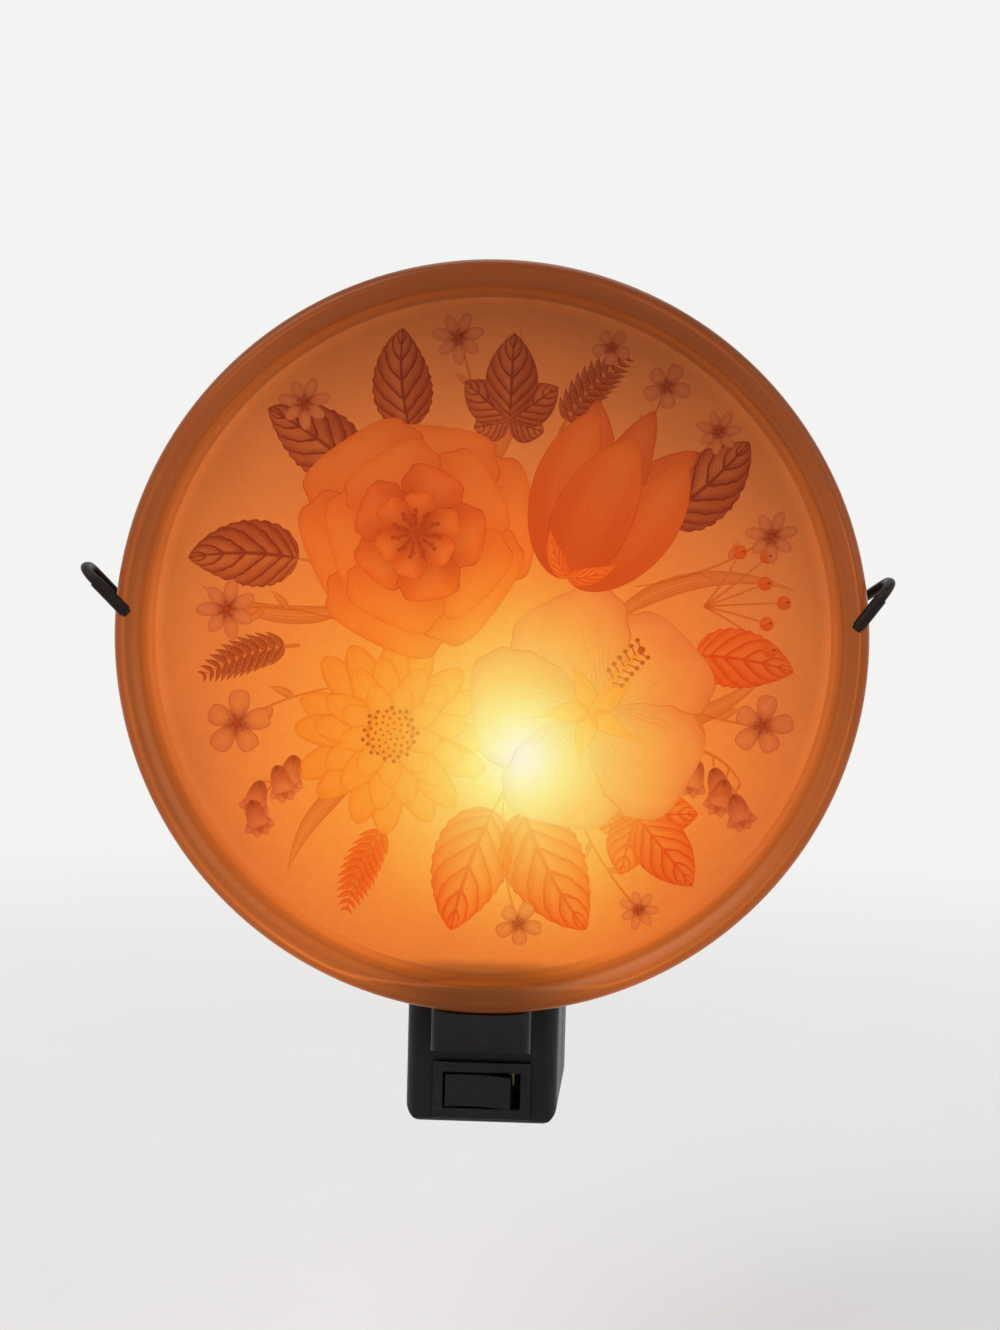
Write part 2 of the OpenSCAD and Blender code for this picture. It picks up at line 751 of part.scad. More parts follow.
module neutral_lead() {
    lead([[hub_tab_x, tab_end, 0], [hub_tab_x, lead_y, 0], [shell_tail_x, lead_y, lead_join_z],
        [shell_tail_x, -lamp_y + shell_tail.y / 2, lead_join_z]], "#d9d4c8");
}

// ---- Bulb ----

// The bulb's outline as (radius, z): a straight neck, a swell to the belly and a blunt, drawn-out crown
module bulb_outline(inset) {
    r = bulb_r - inset;
    neck = neck_r - inset;
    crown = bulb_top - inset - belly_z;
    steps = 10;
    polygon(concat([[0, collar_z + 0.5 + inset], [neck, collar_z + 0.5 + inset]],
        [for (i = [0 : steps]) let (t = i / steps)
            [neck + (r - neck) * (1 - cos(180 * t)) / 2, collar_top + 0.4 + (belly_z - collar_top - 0.4) * t]],
        [for (i = [1 : steps]) let (t = 90 * i / steps)
            [r * pow(cos(t), 0.9), belly_z + crown * pow(sin(t), 1.15)]]));
}

module bulb_glass() {
    color("#f3ead2", 0.5) turned_about_lamp() difference() {
        bulb_outline(0);
        bulb_outline(glass_t);
    }
}

module bulb_screw_base() {
    root_r = thread_r - 0.35;
    color("#cfcabb") turned_about_lamp() difference() {
        union() {
            translate([0, thread_start]) square([root_r, collar_top - thread_start]);
            for (i = [0 : threads - 1])
                translate([thread_r - crest_r, thread_start + (i + 0.5) * thread_pitch]) circle(crest_r);
            translate([0, collar_z + 0.6]) square([thread_r, collar_top - collar_z - 0.6]);
        }
        translate([-1, thread_start + 0.4]) square([neck_r - 0.3 + 1, collar_top]);
        translate([-1, collar_z + 0.4]) square([neck_r + 0.03 + 1, collar_top]);
        translate([-1, thread_start - 1]) square([insulator_r + 0.03 + 1, 3]);
    }
}

module bulb_insulator() {
    color("#1a1714") turned_about_lamp()
        polygon([[0, tip_z + tip_h], [2.6, tip_z + tip_h], [thread_r - 0.9, thread_start],
            [insulator_r, thread_start], [insulator_r, thread_start + 1], [0, thread_start + 1]]);
}

module bulb_tip_contact() {
    color("#c8c4bc") turned_about_lamp() intersection() {
        square([2.4, tip_z + tip_h]);
        translate([0, tip_z]) union() {
            translate([0, 0.7]) square([2.4, tip_h - 0.7]);
            translate([0, 2.6]) circle(2.6);
        }
    }
}

module bulb_stem() {
    color("#e9e2d0", 0.6) turned_about_lamp() polygon([[0, collar_z + 1.5], [neck_r - glass_t - 0.5, collar_z + 1.5],
        [neck_r - glass_t - 0.5, collar_z + 2.2], [2.4, collar_top + 1], [1.6, filament_z - 9],
        [0, filament_z - 9]]);
}

module bulb_lead_wires() {
    color("#9a958a") for (s = [-1, 1])
        bent_rod([[s * 1, -lamp_y, filament_z - 9], [s * 1, -lamp_y, filament_z - 6.5], [s * 4, -lamp_y, filament_z]],
            0.22, [0, 1, 0], 8);
}

module bulb_filament() {
    color("#ffce7a") {
        rod([-3.7, -lamp_y, filament_z + 0.35], [3.7, -lamp_y, filament_z + 0.35], 0.28);
    }
}

// ---- Dish ----

function arc(centre, r, from, to, n) = [for (i = [0 : n]) let (a = from + (to - from) * i / n)
    centre + r * [cos(a), sin(a)]];

// The dish's outline as (radius, y), open towards the viewer
module dish_outline() {
    lip_back = lip_front + lip_t;
    crest = dish_r - lip_round;
    polygon(concat([[0, dish_back]],
        arc([back_r - back_corner_r, dish_back - back_corner_r], back_corner_r, 90, 0, 6),
        [[wall_r - 0.35, lip_back + 0.7], [wall_r - 0.1, lip_back + 0.15]],
        arc([crest, lip_front + lip_round], lip_round, 80, -90, 14),
        [[crest - 0.7, lip_front + 0.05], [inner_r + 0.6, lip_front + 1], [inner_r + 0.15, lip_front + 1.5],
            [inner_r, lip_front + 2.1]],
        arc([floor_r - foot_round, floor_front - foot_round], foot_round, 0, 90, 6),
        [[0, floor_front]]));
}

module glass_dish() {
    color("#c98a5c", 0.7) turned_about_dish() dish_outline();
}

module printed_film() {
    color("#e8893f") along_y(film_r, floor_front - film_t, floor_front, 0, dish_z, $fn = fine);
}

swivel_disc();
line_blade();
neutral_blade();
rear_housing();
front_housing();
housing_screws();
contact_plate();
outer_ring();
inner_ring();
lampholder_sleeve();
lampholder_base();
screw_shell();
centre_contact();
wire_frame();
hook_sleeves();
switch_case();
common_terminal();
line_terminal();
line_lead();
switched_lead();
neutral_lead();
rocker();
plunger();
plunger_spring();
contact_lever();
bulb_glass();
bulb_screw_base();
bulb_insulator();
bulb_tip_contact();
bulb_stem();
bulb_lead_wires();
bulb_filament();
glass_dish();
printed_film();
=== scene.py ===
"""A lit plug-in night light: a printed glass dish on two wire hooks, in front of a small black lamp body."""

from __future__ import annotations

import logging
import math
from dataclasses import dataclass, field
from enum import Enum
from typing import NamedTuple, Sequence, Union

import bmesh
import bpy
from bmesh.types import BMEdge, BMesh, BMVert
from mathutils import Matrix, Vector


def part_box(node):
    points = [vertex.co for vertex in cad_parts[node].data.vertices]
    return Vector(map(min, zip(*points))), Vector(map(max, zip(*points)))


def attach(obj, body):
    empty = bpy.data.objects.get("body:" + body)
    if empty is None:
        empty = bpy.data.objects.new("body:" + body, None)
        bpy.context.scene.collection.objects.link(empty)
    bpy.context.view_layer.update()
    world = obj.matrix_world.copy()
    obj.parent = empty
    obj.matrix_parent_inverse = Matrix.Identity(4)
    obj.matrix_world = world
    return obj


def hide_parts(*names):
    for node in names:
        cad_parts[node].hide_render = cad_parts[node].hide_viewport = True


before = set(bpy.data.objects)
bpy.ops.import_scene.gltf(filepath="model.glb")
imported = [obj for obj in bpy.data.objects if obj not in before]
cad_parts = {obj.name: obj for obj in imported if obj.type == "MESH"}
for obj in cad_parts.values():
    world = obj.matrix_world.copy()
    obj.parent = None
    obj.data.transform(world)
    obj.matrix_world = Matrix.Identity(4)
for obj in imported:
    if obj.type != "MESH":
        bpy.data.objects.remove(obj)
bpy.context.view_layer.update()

LOG = logging.getLogger("night_light")
MM = 0.001
WELD = 1e-7
TINY = 1e-6
Socket = bpy.types.NodeSocket
Material = bpy.types.Material
Point = tuple[float, float]
Colour = tuple[float, float, float]
Stops = tuple[tuple[float, int, int, int], ...]
Feed = Union["Value", Socket, float, Sequence[float]]


# ---- Small helpers for shapes ----


def frame_along(path: Sequence[Vector]) -> list[Matrix]:
    """Places one cross-section frame at each point of a path, carried along so that a rod doesn't twist.

    Args:
        path: the points, in metres.

    Returns:
        One matrix per point; its Z axis runs along the path.
    """
    frames = []
    normal = None
    for i, point in enumerate(path):
        ahead = (path[i + 1] - point).normalized() if i + 1 < len(path) else Vector()
        behind = (point - path[i - 1]).normalized() if i else Vector()
        along = (ahead + behind).normalized()
        if normal is None:
            normal = along.orthogonal()
        normal = (normal - along * normal.dot(along)).normalized()
        side = along.cross(normal)
        frames.append(Matrix.Translation(point) @ Matrix((normal, side, along)).transposed().to_4x4())
    return frames


def rounded_path(corners: Sequence[Vector], bends: Sequence[float], step: float = 6.0) -> list[Vector]:
    """Rounds the inner corners of a path with arcs.

    Args:
        corners: the path's corner points.
        bends: one bend radius per inner corner.
        step: degrees between the points of an arc.

    Returns:
        The points of the rounded path.
    """
    points = [corners[0]]
    for before, corner, after, bend in zip(corners, corners[1:], corners[2:], bends):
        into, out = (corner - before).normalized(), (after - corner).normalized()
        turn = into.angle(out)
        inward = into.cross(out).normalized().cross(into)
        start = corner - into * bend * math.tan(turn / 2)
        count = max(3, math.ceil(math.degrees(turn) / step))
        for i in range(count + 1):
            angle = turn * i / count
            points.append(start + inward * bend * (1 - math.cos(angle)) + into * bend * math.sin(angle))
    points.append(corners[-1])
    return points


def sweep(mesh: BMesh, path: Sequence[Vector], radius: float, sides: int = 24, capped: bool = True,
          rounding: float = 0.35) -> None:
    """Draws a round rod along a path by extruding one circle.

    Args:
        mesh: the mesh that takes the rod.
        path: the points of its axis.
        radius: its radius.
        sides: corners of its cross-section.
        capped: whether its ends are closed and rounded off.
        rounding: how far the ends are rounded, as a share of the radius.
    """
    frames = frame_along(path)
    ring = bmesh.ops.create_circle(mesh, cap_ends=False, segments=sides, radius=radius, matrix=frames[0])
    first = last = list(dict.fromkeys(edge for vert in ring["verts"] for edge in vert.link_edges))
    for old, new in zip(frames, frames[1:]):
        grown = bmesh.ops.extrude_edge_only(mesh, edges=last)["geom"]
        moved = [item for item in grown if isinstance(item, BMVert)]
        last = [item for item in grown if isinstance(item, BMEdge)]
        bmesh.ops.transform(mesh, matrix=new @ old.inverted(), verts=moved)
    for rim in (first, last) if capped else ():
        cap = bmesh.ops.contextual_create(mesh, geom=rim)["faces"]
        edges = [edge for face in cap for edge in face.edges]
        bmesh.ops.bevel(mesh, geom=edges, offset=radius * rounding, offset_type="OFFSET", segments=3,
                        profile=0.5, affect="EDGES", material=-1)
    bmesh.ops.recalc_face_normals(mesh, faces=mesh.faces)


def turned(outline: Sequence[Point], centre: Vector, axis: Vector, steps: int) -> BMesh:
    """Turns an outline about an axis.

    Args:
        outline: the points as (radius, height), in millimetres.
        centre: a point of the axis, at height 0, in metres.
        axis: the direction of the height.
        steps: facets of a full turn.

    Returns:
        The turned shape.
    """
    mesh = bmesh.new()
    out = Vector((1, 0, 0))
    verts = [mesh.verts.new(centre + out * (away * MM) + axis * (height * MM)) for away, height in outline]
    edges = [mesh.edges.new(pair) for pair in zip(verts, verts[1:])]
    bmesh.ops.spin(mesh, geom=verts + edges, cent=centre, axis=axis, dvec=(0, 0, 0), angle=2 * math.pi,
                   steps=steps, use_merge=True, use_normal_flip=False, use_duplicate=False)
    bmesh.ops.remove_doubles(mesh, verts=mesh.verts, dist=WELD * 10)
    bmesh.ops.recalc_face_normals(mesh, faces=mesh.faces)
    return mesh


def shares(steps: int) -> list[float]:
    """Gives evenly spaced shares from 0 to 1."""
    return [i / steps for i in range(steps + 1)]


def beyond(start: Point, heading: float, reach: float) -> Point:
    """Gives the point at a distance from another, in a heading in degrees."""
    angle = math.radians(heading)
    return start[0] + reach * math.cos(angle), start[1] + reach * math.sin(angle)


def arc(centre: Point, radius: float, start: float, end: float, steps: int) -> list[Point]:
    """Gives the points of an arc in an outline, with angles in degrees."""
    return [beyond(centre, start + (end - start) * share, radius) for share in shares(steps)]


def piece(mesh: BMesh, name: str, body: str, finish: Material, replaced: Sequence[str] = (),
          sharp: float = 40.0) -> None:
    """Makes a mesh a piece of the lamp.

    Args:
        mesh: the finished mesh, which is used up.
        name: the piece's name.
        body: the CAD body that carries it.
        finish: its material.
        replaced: the CAD nodes that it stands for.
        sharp: the angle above which an edge stays sharp.
    """
    data = bpy.data.meshes.new(name)
    for face in mesh.faces:
        face.smooth = True
    for edge in mesh.edges:
        edge.smooth = not (edge.is_manifold and edge.calc_face_angle(0) > math.radians(sharp))
    mesh.to_mesh(data)
    mesh.free()
    data.materials.append(finish)
    made = bpy.data.objects.new(name, data)
    bpy.context.scene.collection.objects.link(made)
    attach(made, body)
    if replaced:
        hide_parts(*replaced)
    LOG.info("%s: %d faces on %s", name, len(data.polygons), body)


def softened(node: str, name: str, body: str, finish: Material, rounding: float,
             sharp: float = 32.0) -> None:
    """Makes a copy of a CAD node whose sharp edges are rounded off, and which stands for the node.

    Args:
        node: the CAD node.
        name: the new piece's name.
        body: the CAD body that carries it.
        finish: its material.
        rounding: how far the rounding reaches from an edge, in metres.
        sharp: the angle from which an edge is rounded, in degrees.
    """
    mesh = bmesh.new()
    mesh.from_mesh(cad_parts[node].data)
    bmesh.ops.remove_doubles(mesh, verts=mesh.verts, dist=WELD * 20)
    bmesh.ops.dissolve_limit(mesh, angle_limit=math.radians(0.5), verts=mesh.verts, edges=mesh.edges)
    edges = [edge for edge in mesh.edges if edge.is_manifold and edge.calc_face_angle() > math.radians(sharp)]
    bmesh.ops.bevel(mesh, geom=edges, offset=rounding, offset_type="OFFSET", segments=2, profile=0.5,
                    affect="EDGES", clamp_overlap=True, material=-1)
    piece(mesh, name, body, finish, (node,), sharp=30.0)


def dress(finish: Material, *nodes: str) -> None:
    """Gives CAD nodes one material, which fills their slots.

    Args:
        finish: the material.
        nodes: the nodes' names.
    """
    for node in nodes:
        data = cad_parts[node].data
        data.materials.clear()
        data.materials.append(finish)
        LOG.info("%s: dressed with %s", node, finish.name)


# ---- Node trees ----


class Value:
    """A value in a node tree. A sign between two values, or a value and a number, adds a Math node."""

    def __init__(self, recipe: Recipe, socket: Socket) -> None:
        """Keeps the socket that gives the value."""
        self.recipe = recipe
        self.socket = socket

    def __add__(self, other: Feed) -> Value:
        """Adds a number."""
        return self.recipe.maths("ADD", self, other)

    def __sub__(self, other: Feed) -> Value:
        """Takes a number away."""
        return self.recipe.maths("SUBTRACT", self, other)

    def __rsub__(self, other: float) -> Value:
        """Takes the value away from a number."""
        return self.recipe.maths("SUBTRACT", other, self)

    def __mul__(self, other: Feed) -> Value:
        """Multiplies by a number."""
        return self.recipe.maths("MULTIPLY", self, other)

    def __truediv__(self, other: Feed) -> Value:
        """Divides by a number."""
        return self.recipe.maths("DIVIDE", self, other)

    def __pow__(self, other: float) -> Value:
        """Raises to a power."""
        return self.recipe.maths("POWER", self, other)

    def __abs__(self) -> Value:
        """Drops the sign."""
        return self.recipe.maths("ABSOLUTE", self)

    def sine(self) -> Value:
        """Gives the sine."""
        return self.recipe.maths("SINE", self)

    def most(self, other: Feed) -> Value:
        """Gives the larger of two values."""
        return self.recipe.maths("MAXIMUM", self, other)

    def clamped(self) -> Value:
        """Keeps a Math node's result between 0 and 1."""
        self.socket.node.use_clamp = True
        return self


class Recipe:
    """Lays out a node tree one step at a time."""

    def __init__(self, tree: bpy.types.NodeTree) -> None:
        """Starts on an empty tree."""
        self.tree = tree

    def node(self, kind: str, **settings: object) -> bpy.types.Node:
        """Adds a node and sets its properties.

        Args:
            kind: the node's type.
            settings: its properties.

        Returns:
            The node.
        """
        made = self.tree.nodes.new(kind)
        made.location = (180 * len(self.tree.nodes), 0)
        for key, value in settings.items():
            setattr(made, key, value)
        return made

    def feed(self, sockets: Sequence[Socket], *values: Feed) -> None:
        """Sets sockets in turn from numbers, from colours, which are opaque, or from other nodes' outputs.

        Args:
            sockets: the sockets, in order.
            values: what each of them takes.
        """
        for socket, value in zip(sockets, values):
            source = value.socket if isinstance(value, Value) else value
            if isinstance(source, Socket):
                self.tree.links.new(source, socket)
            else:
                socket.default_value = (*source[:3], 1.0) if socket.type == "RGBA" else source

    def feed_named(self, node: bpy.types.Node, values: dict[str, Feed]) -> None:
        """Sets a node's sockets by their names."""
        self.feed([node.inputs[name] for name in values], *values.values())

    def values(self, node: bpy.types.Node) -> list[Value]:
        """Gives all of a node's outputs."""
        return [Value(self, socket) for socket in node.outputs]

    def maths(self, operation: str, first: Feed, second: Feed = 0.0) -> Value:
        """Adds a Math node.

        Args:
            operation: what it works out.
            first: its first value.
            second: its second value.

        Returns:
            The result.
        """
        made = self.node("ShaderNodeMath", operation=operation)
        self.feed(made.inputs, first, second)
        return self.values(made)[0]

    def vector(self, operation: str, first: Feed, second: Feed = (0.0, 0.0, 0.0)) -> Value:
        """Adds a Vector Math node, and gives its number if it measures a length.

        Args:
            operation: what it works out.
            first: its first vector.
            second: its second vector.

        Returns:
            The result.
        """
        made = self.node("ShaderNodeVectorMath", operation=operation)
        self.feed(made.inputs, first, second)
        return Value(self, made.outputs["Value" if operation == "LENGTH" else "Vector"])

    def mix(self, factor: Feed, first: Feed, second: Feed, blend: str = "MIX") -> Value:
        """Adds a colour Mix node.

        Args:
            factor: how much of the second colour there is.
            first: the first colour.
            second: the second colour.
            blend: how the second lies on the first.

        Returns:
            The mixed colour.
        """
        made = self.node("ShaderNodeMix", data_type="RGBA", blend_type=blend)
        self.feed([made.inputs[index] for index in (0, 6, 7)], factor, first, second)
        return Value(self, made.outputs[2])

    def dye(self, colour: Feed, dye: Feed) -> Value:
        """Multiplies a colour by another."""
        return self.mix(1.0, colour, dye, "MULTIPLY")

    def grey(self, value: Feed) -> Value:
        """Gives a number as a grey colour, which may be brighter than white.

        Args:
            value: the number.

        Returns:
            The colour.
        """
        made = self.node("ShaderNodeCombineColor")
        self.feed(made.inputs, value, value, value)
        return self.values(made)[0]

    def spread(self, value: Feed, low: float, high: float, new_low: float = 0.0,
               new_high: float = 1.0) -> Value:
        """Adds a smooth Map Range node.

        Args:
            value: the value.
            low: the value at one end of the range.
            high: the value at its other end.
            new_low: what the first end becomes.
            new_high: what the other end becomes.

        Returns:
            The value in the new range.
        """
        made = self.node("ShaderNodeMapRange", interpolation_type="SMOOTHSTEP")
        self.feed(made.inputs, value, low, high, new_low, new_high)
        return self.values(made)[0]

    def noise(self, vector: Feed, scale: float, detail: float = 2.0,
              stretch: tuple[float, float, float] | None = None) -> Value:
        """Adds a Noise node, on coordinates that may be stretched first, and gives its value.

        Args:
            vector: the coordinates.
            scale: how fine the pattern is.
            detail: how many finer layers it has.
            stretch: what the coordinates are multiplied by.

        Returns:
            The pattern's value.
        """
        made = self.node("ShaderNodeTexNoise")
        place = self.vector("MULTIPLY", vector, stretch) if stretch else vector
        self.feed_named(made, {"Vector": place, "Scale": scale, "Detail": detail})
        return self.values(made)[0]

    def ramp(self, factor: Feed, stops: Sequence[tuple[float, Sequence[float]]]) -> list[Value]:
        """Adds a Color Ramp node with its stops in order, and gives its colour and its alpha.

        Args:
            factor: a place on the ramp, from 0 to 1.
            stops: each stop's place and colour.

        Returns:
            The colour and the alpha there.
        """
        made = self.node("ShaderNodeValToRGB")
        self.feed(made.inputs, factor)
        elements = made.color_ramp.elements
        while len(elements) < len(stops):
            elements.new(1.0)
        for element, (place, colour) in zip(elements, stops):
            element.position = place
            element.color = colour
        return self.values(made)

    def split(self, vector: Feed) -> list[Value]:
        """Gives a vector's x, y and z.

        Args:
            vector: the vector.

        Returns:
            The three values.
        """
        made = self.node("ShaderNodeSeparateXYZ")
        self.feed(made.inputs, vector)
        return self.values(made)

    def bump(self, height: Feed, strength: float, distance: float) -> Value:
        """Adds a Bump node and gives its normal.

        Args:
            height: the relief's height.
            strength: its strength.
            distance: its depth.

        Returns:
            The normal.
        """
        made = self.node("ShaderNodeBump")
        self.feed_named(made, {"Strength": strength, "Distance": distance, "Height": height})
        return self.values(made)[0]

    def group(self, tree: bpy.types.NodeTree, **inputs: Feed) -> list[Value]:
        """Places a node group with its own values and gives its outputs.

        Args:
            tree: the group.
            inputs: what its sockets take.

        Returns:
            Its outputs.
        """
        made = self.node("ShaderNodeGroup", node_tree=tree)
        self.feed_named(made, inputs)
        return self.values(made)


def srgb(red: int, green: int, blue: int) -> Colour:
    """Gives a display colour, 0 to 255, as the linear colour that a shader takes.

    Args:
        red: its red.
        green: its green.
        blue: its blue.

    Returns:
        The linear colour.
    """
    def linear(value: int) -> float:
        """Takes the display curve off one channel."""
        share = value / 255
        return share / 12.92 if share <= 0.04045 else ((share + 0.055) / 1.055) ** 2.4
    return linear(red), linear(green), linear(blue)


class Kind(Enum):
    """The kinds of socket that a node group has."""

    NUMBER = "NodeSocketFloat"
    COLOUR = "NodeSocketColor"
    VECTOR = "NodeSocketVector"


SURFACE = {"Colour": Kind.COLOUR, "Roughness": Kind.NUMBER, "Height": Kind.NUMBER}
WEIGHTS = ("Lines", "Hatching", "Veins", "Outline", "Edge", "Foot", "Reach", "Light")


def new_group(name: str, inputs: dict[str, Kind], outputs: dict[str, Kind]
              ) -> tuple[Recipe, list[Value], Sequence[Socket]]:
    """Starts a node group with named inputs and outputs.

    Args:
        name: the group's name.
        inputs: its inputs.
        outputs: its outputs.

    Returns:
        A recipe on the group, its inputs as values, and the sockets that its outputs are fed through.
    """
    tree = bpy.data.node_groups.new(name, "ShaderNodeTree")
    for side, sockets in (("INPUT", inputs), ("OUTPUT", outputs)):
        for label, kind in sockets.items():
            tree.interface.new_socket(name=label, in_out=side, socket_type=kind.value)
    r = Recipe(tree)
    return r, r.values(r.node("NodeGroupInput"))[:len(inputs)], r.node("NodeGroupOutput").inputs


class Patch(NamedTuple):
    """A place where the light is uneven: within its radius, distances count as longer or shorter."""

    x: float
    z: float
    radius: float
    shift: float


@dataclass(frozen=True)
class GlowLook:
    """How the lamp's light spreads over the dish: a wide field with a small bright core, and a dimmer rim.

    Places, as x and z, and sizes are in millimetres. A stop is a distance and the display colour seen there,
    and core_cover says how much the core covers the field at each of its stops.
    """

    core: Point = (5.0, 50.5)
    middle: Point = (-2.2, 52.0)
    upright: float = 1.15
    core_stops: Stops = ((0, 255, 254, 222), (4, 255, 250, 182), (7.5, 253, 240, 142), (13, 253, 212, 104),
                         (21, 252, 184, 77), (31.5, 250, 152, 55))
    core_cover: tuple[float, ...] = (1.0, 1.0, 1.0, 0.95, 0.72, 0.0)
    field_stops: Stops = (
        (20, 251, 158, 58), (27, 248, 145, 53), (34, 243, 135, 51), (41, 236, 127, 51), (48, 226, 118, 51),
        (56, 210, 111, 50), (62, 195, 102, 47), (68, 179, 93, 43), (75, 166, 86, 40), (82, 150, 77, 36),
        (92, 130, 66, 31))
    rim_stops: Stops = ((30, 196, 104, 44), (46, 183, 95, 40), (55, 170, 88, 38), (62, 154, 79, 35),
                        (71, 152, 76, 34), (76, 142, 70, 31), (85, 130, 63, 28), (92, 124, 60, 26))
    patches: tuple[Patch, ...] = (Patch(-50.0, 110.0, 46.0, -8.0), Patch(-58.0, 38.0, 34.0, 9.0),
                                  Patch(18.0, 18.0, 26.0, -5.0), Patch(28.0, 122.0, 36.0, 3.0))

    def away_from(self, r: Recipe, flat: Value, centre: Point, upright: float = 1.0) -> Value:
        """Measures, in metres, how far points lie from one of them, with heights counted more or less."""
        away = r.vector("SUBTRACT", flat, (centre[0] * MM, 0.0, centre[1] * MM))
        return r.vector("LENGTH", r.vector("MULTIPLY", away, (1.0, 0.0, upright)))

    def build(self) -> bpy.types.NodeTree:
        """Builds the group, which takes Object coordinates.

        Returns:
            The group, which gives the glow's colour, how far its painted glare pales the ink near the bright
            core, and the rim's colour.
        """
        r, (place,), out = new_group("lamp_glow", {"Vector": Kind.VECTOR},
                                     {"Color": Kind.COLOUR, "Washed": Kind.NUMBER, "Rim": Kind.COLOUR})
        flat = r.vector("MULTIPLY", place, (1.0, 0.0, 1.0))
        wander = (r.noise(flat, 90.0, 1.0) - 0.5) * 0.06
        for patch in self.patches:
            off = self.away_from(r, flat, patch[:2])
            wander += r.spread(off, 0.0, patch.radius * MM, patch.shift / self.field_stops[-1][0], 0.0)
        solid = (1.0,) * len(self.field_stops)
        layers = []
        for centre, upright, stops, covers in ((self.middle, self.upright, self.field_stops, solid),
                                               (self.core, 1.0, self.core_stops, self.core_cover),
                                               (self.middle, self.upright, self.rim_stops, solid)):
            reach = stops[-1][0]
            share = (self.away_from(r, flat, centre, upright) / (reach * MM) + wander).clamped()
            layers.append(r.ramp(share, [(away / reach, (*srgb(*shown), cover))
                                         for (away, *shown), cover in zip(stops, covers)]))
        (field_colour, _), (core_colour, cover), (rim_colour, _) = layers
        # the second output is painted glare: it pales ink where the bright core covers the field
        r.feed(out, r.mix(cover, field_colour, core_colour), cover ** 2.0 * 0.6, rim_colour)
        return r.tree


def moulding_group() -> bpy.types.NodeTree:
    """Builds the fine spark texture and faint handling marks of moulded plastic.

    Returns:
        The group, which takes Object coordinates, the plain colour and the plain roughness.
    """
    r, (place, colour, gloss), out = new_group(
        "moulded_surface", {"Vector": Kind.VECTOR, "Colour": Kind.COLOUR, "Gloss": Kind.NUMBER}, SURFACE)
    spark = r.noise(place, 5200.0, 2.0)
    cloud = r.noise(place, 160.0, 3.0)
    scuff = r.spread(r.noise(place, 700.0, 2.0, (1.0, 0.25, 3.0)), 0.62, 0.75)
    worn = r.dye(colour, (1.5, 1.35, 1.25))
    warm = r.mix(r.spread(cloud, 0.35, 0.7, 0.0, 0.7), colour, worn)
    rough = gloss + r.spread(spark, 0.3, 0.7, -0.05, 0.07)
    scuffed = r.mix(scuff * 0.1, warm, (0.09, 0.08, 0.07))
    r.feed(out, scuffed, (rough + scuff * 0.12).clamped(), spark + cloud * 0.6)
    return r.tree


def metal_group() -> bpy.types.NodeTree:
    """Builds the drawn streaks and light tarnish of plated and rolled metal.

    Returns:
        The group, which takes Object coordinates, the clean and tarnished colours and the plain roughness.
    """
    r, (place, colour, tarnish, gloss), out = new_group(
        "worked_metal",
        {"Vector": Kind.VECTOR, "Colour": Kind.COLOUR, "Tarnish": Kind.COLOUR, "Gloss": Kind.NUMBER}, SURFACE)
    streak = r.noise(place, 3800.0, 3.0, (1.0, 0.06, 1.0))
    stain = r.spread(r.noise(place, 240.0, 4.0), 0.42, 0.68)
    rough = gloss + r.spread(streak, 0.3, 0.7, -0.06, 0.08)
    r.feed(out, r.mix(stain * 0.7, colour, tarnish), (rough + stain * 0.15).clamped(), streak)
    return r.tree


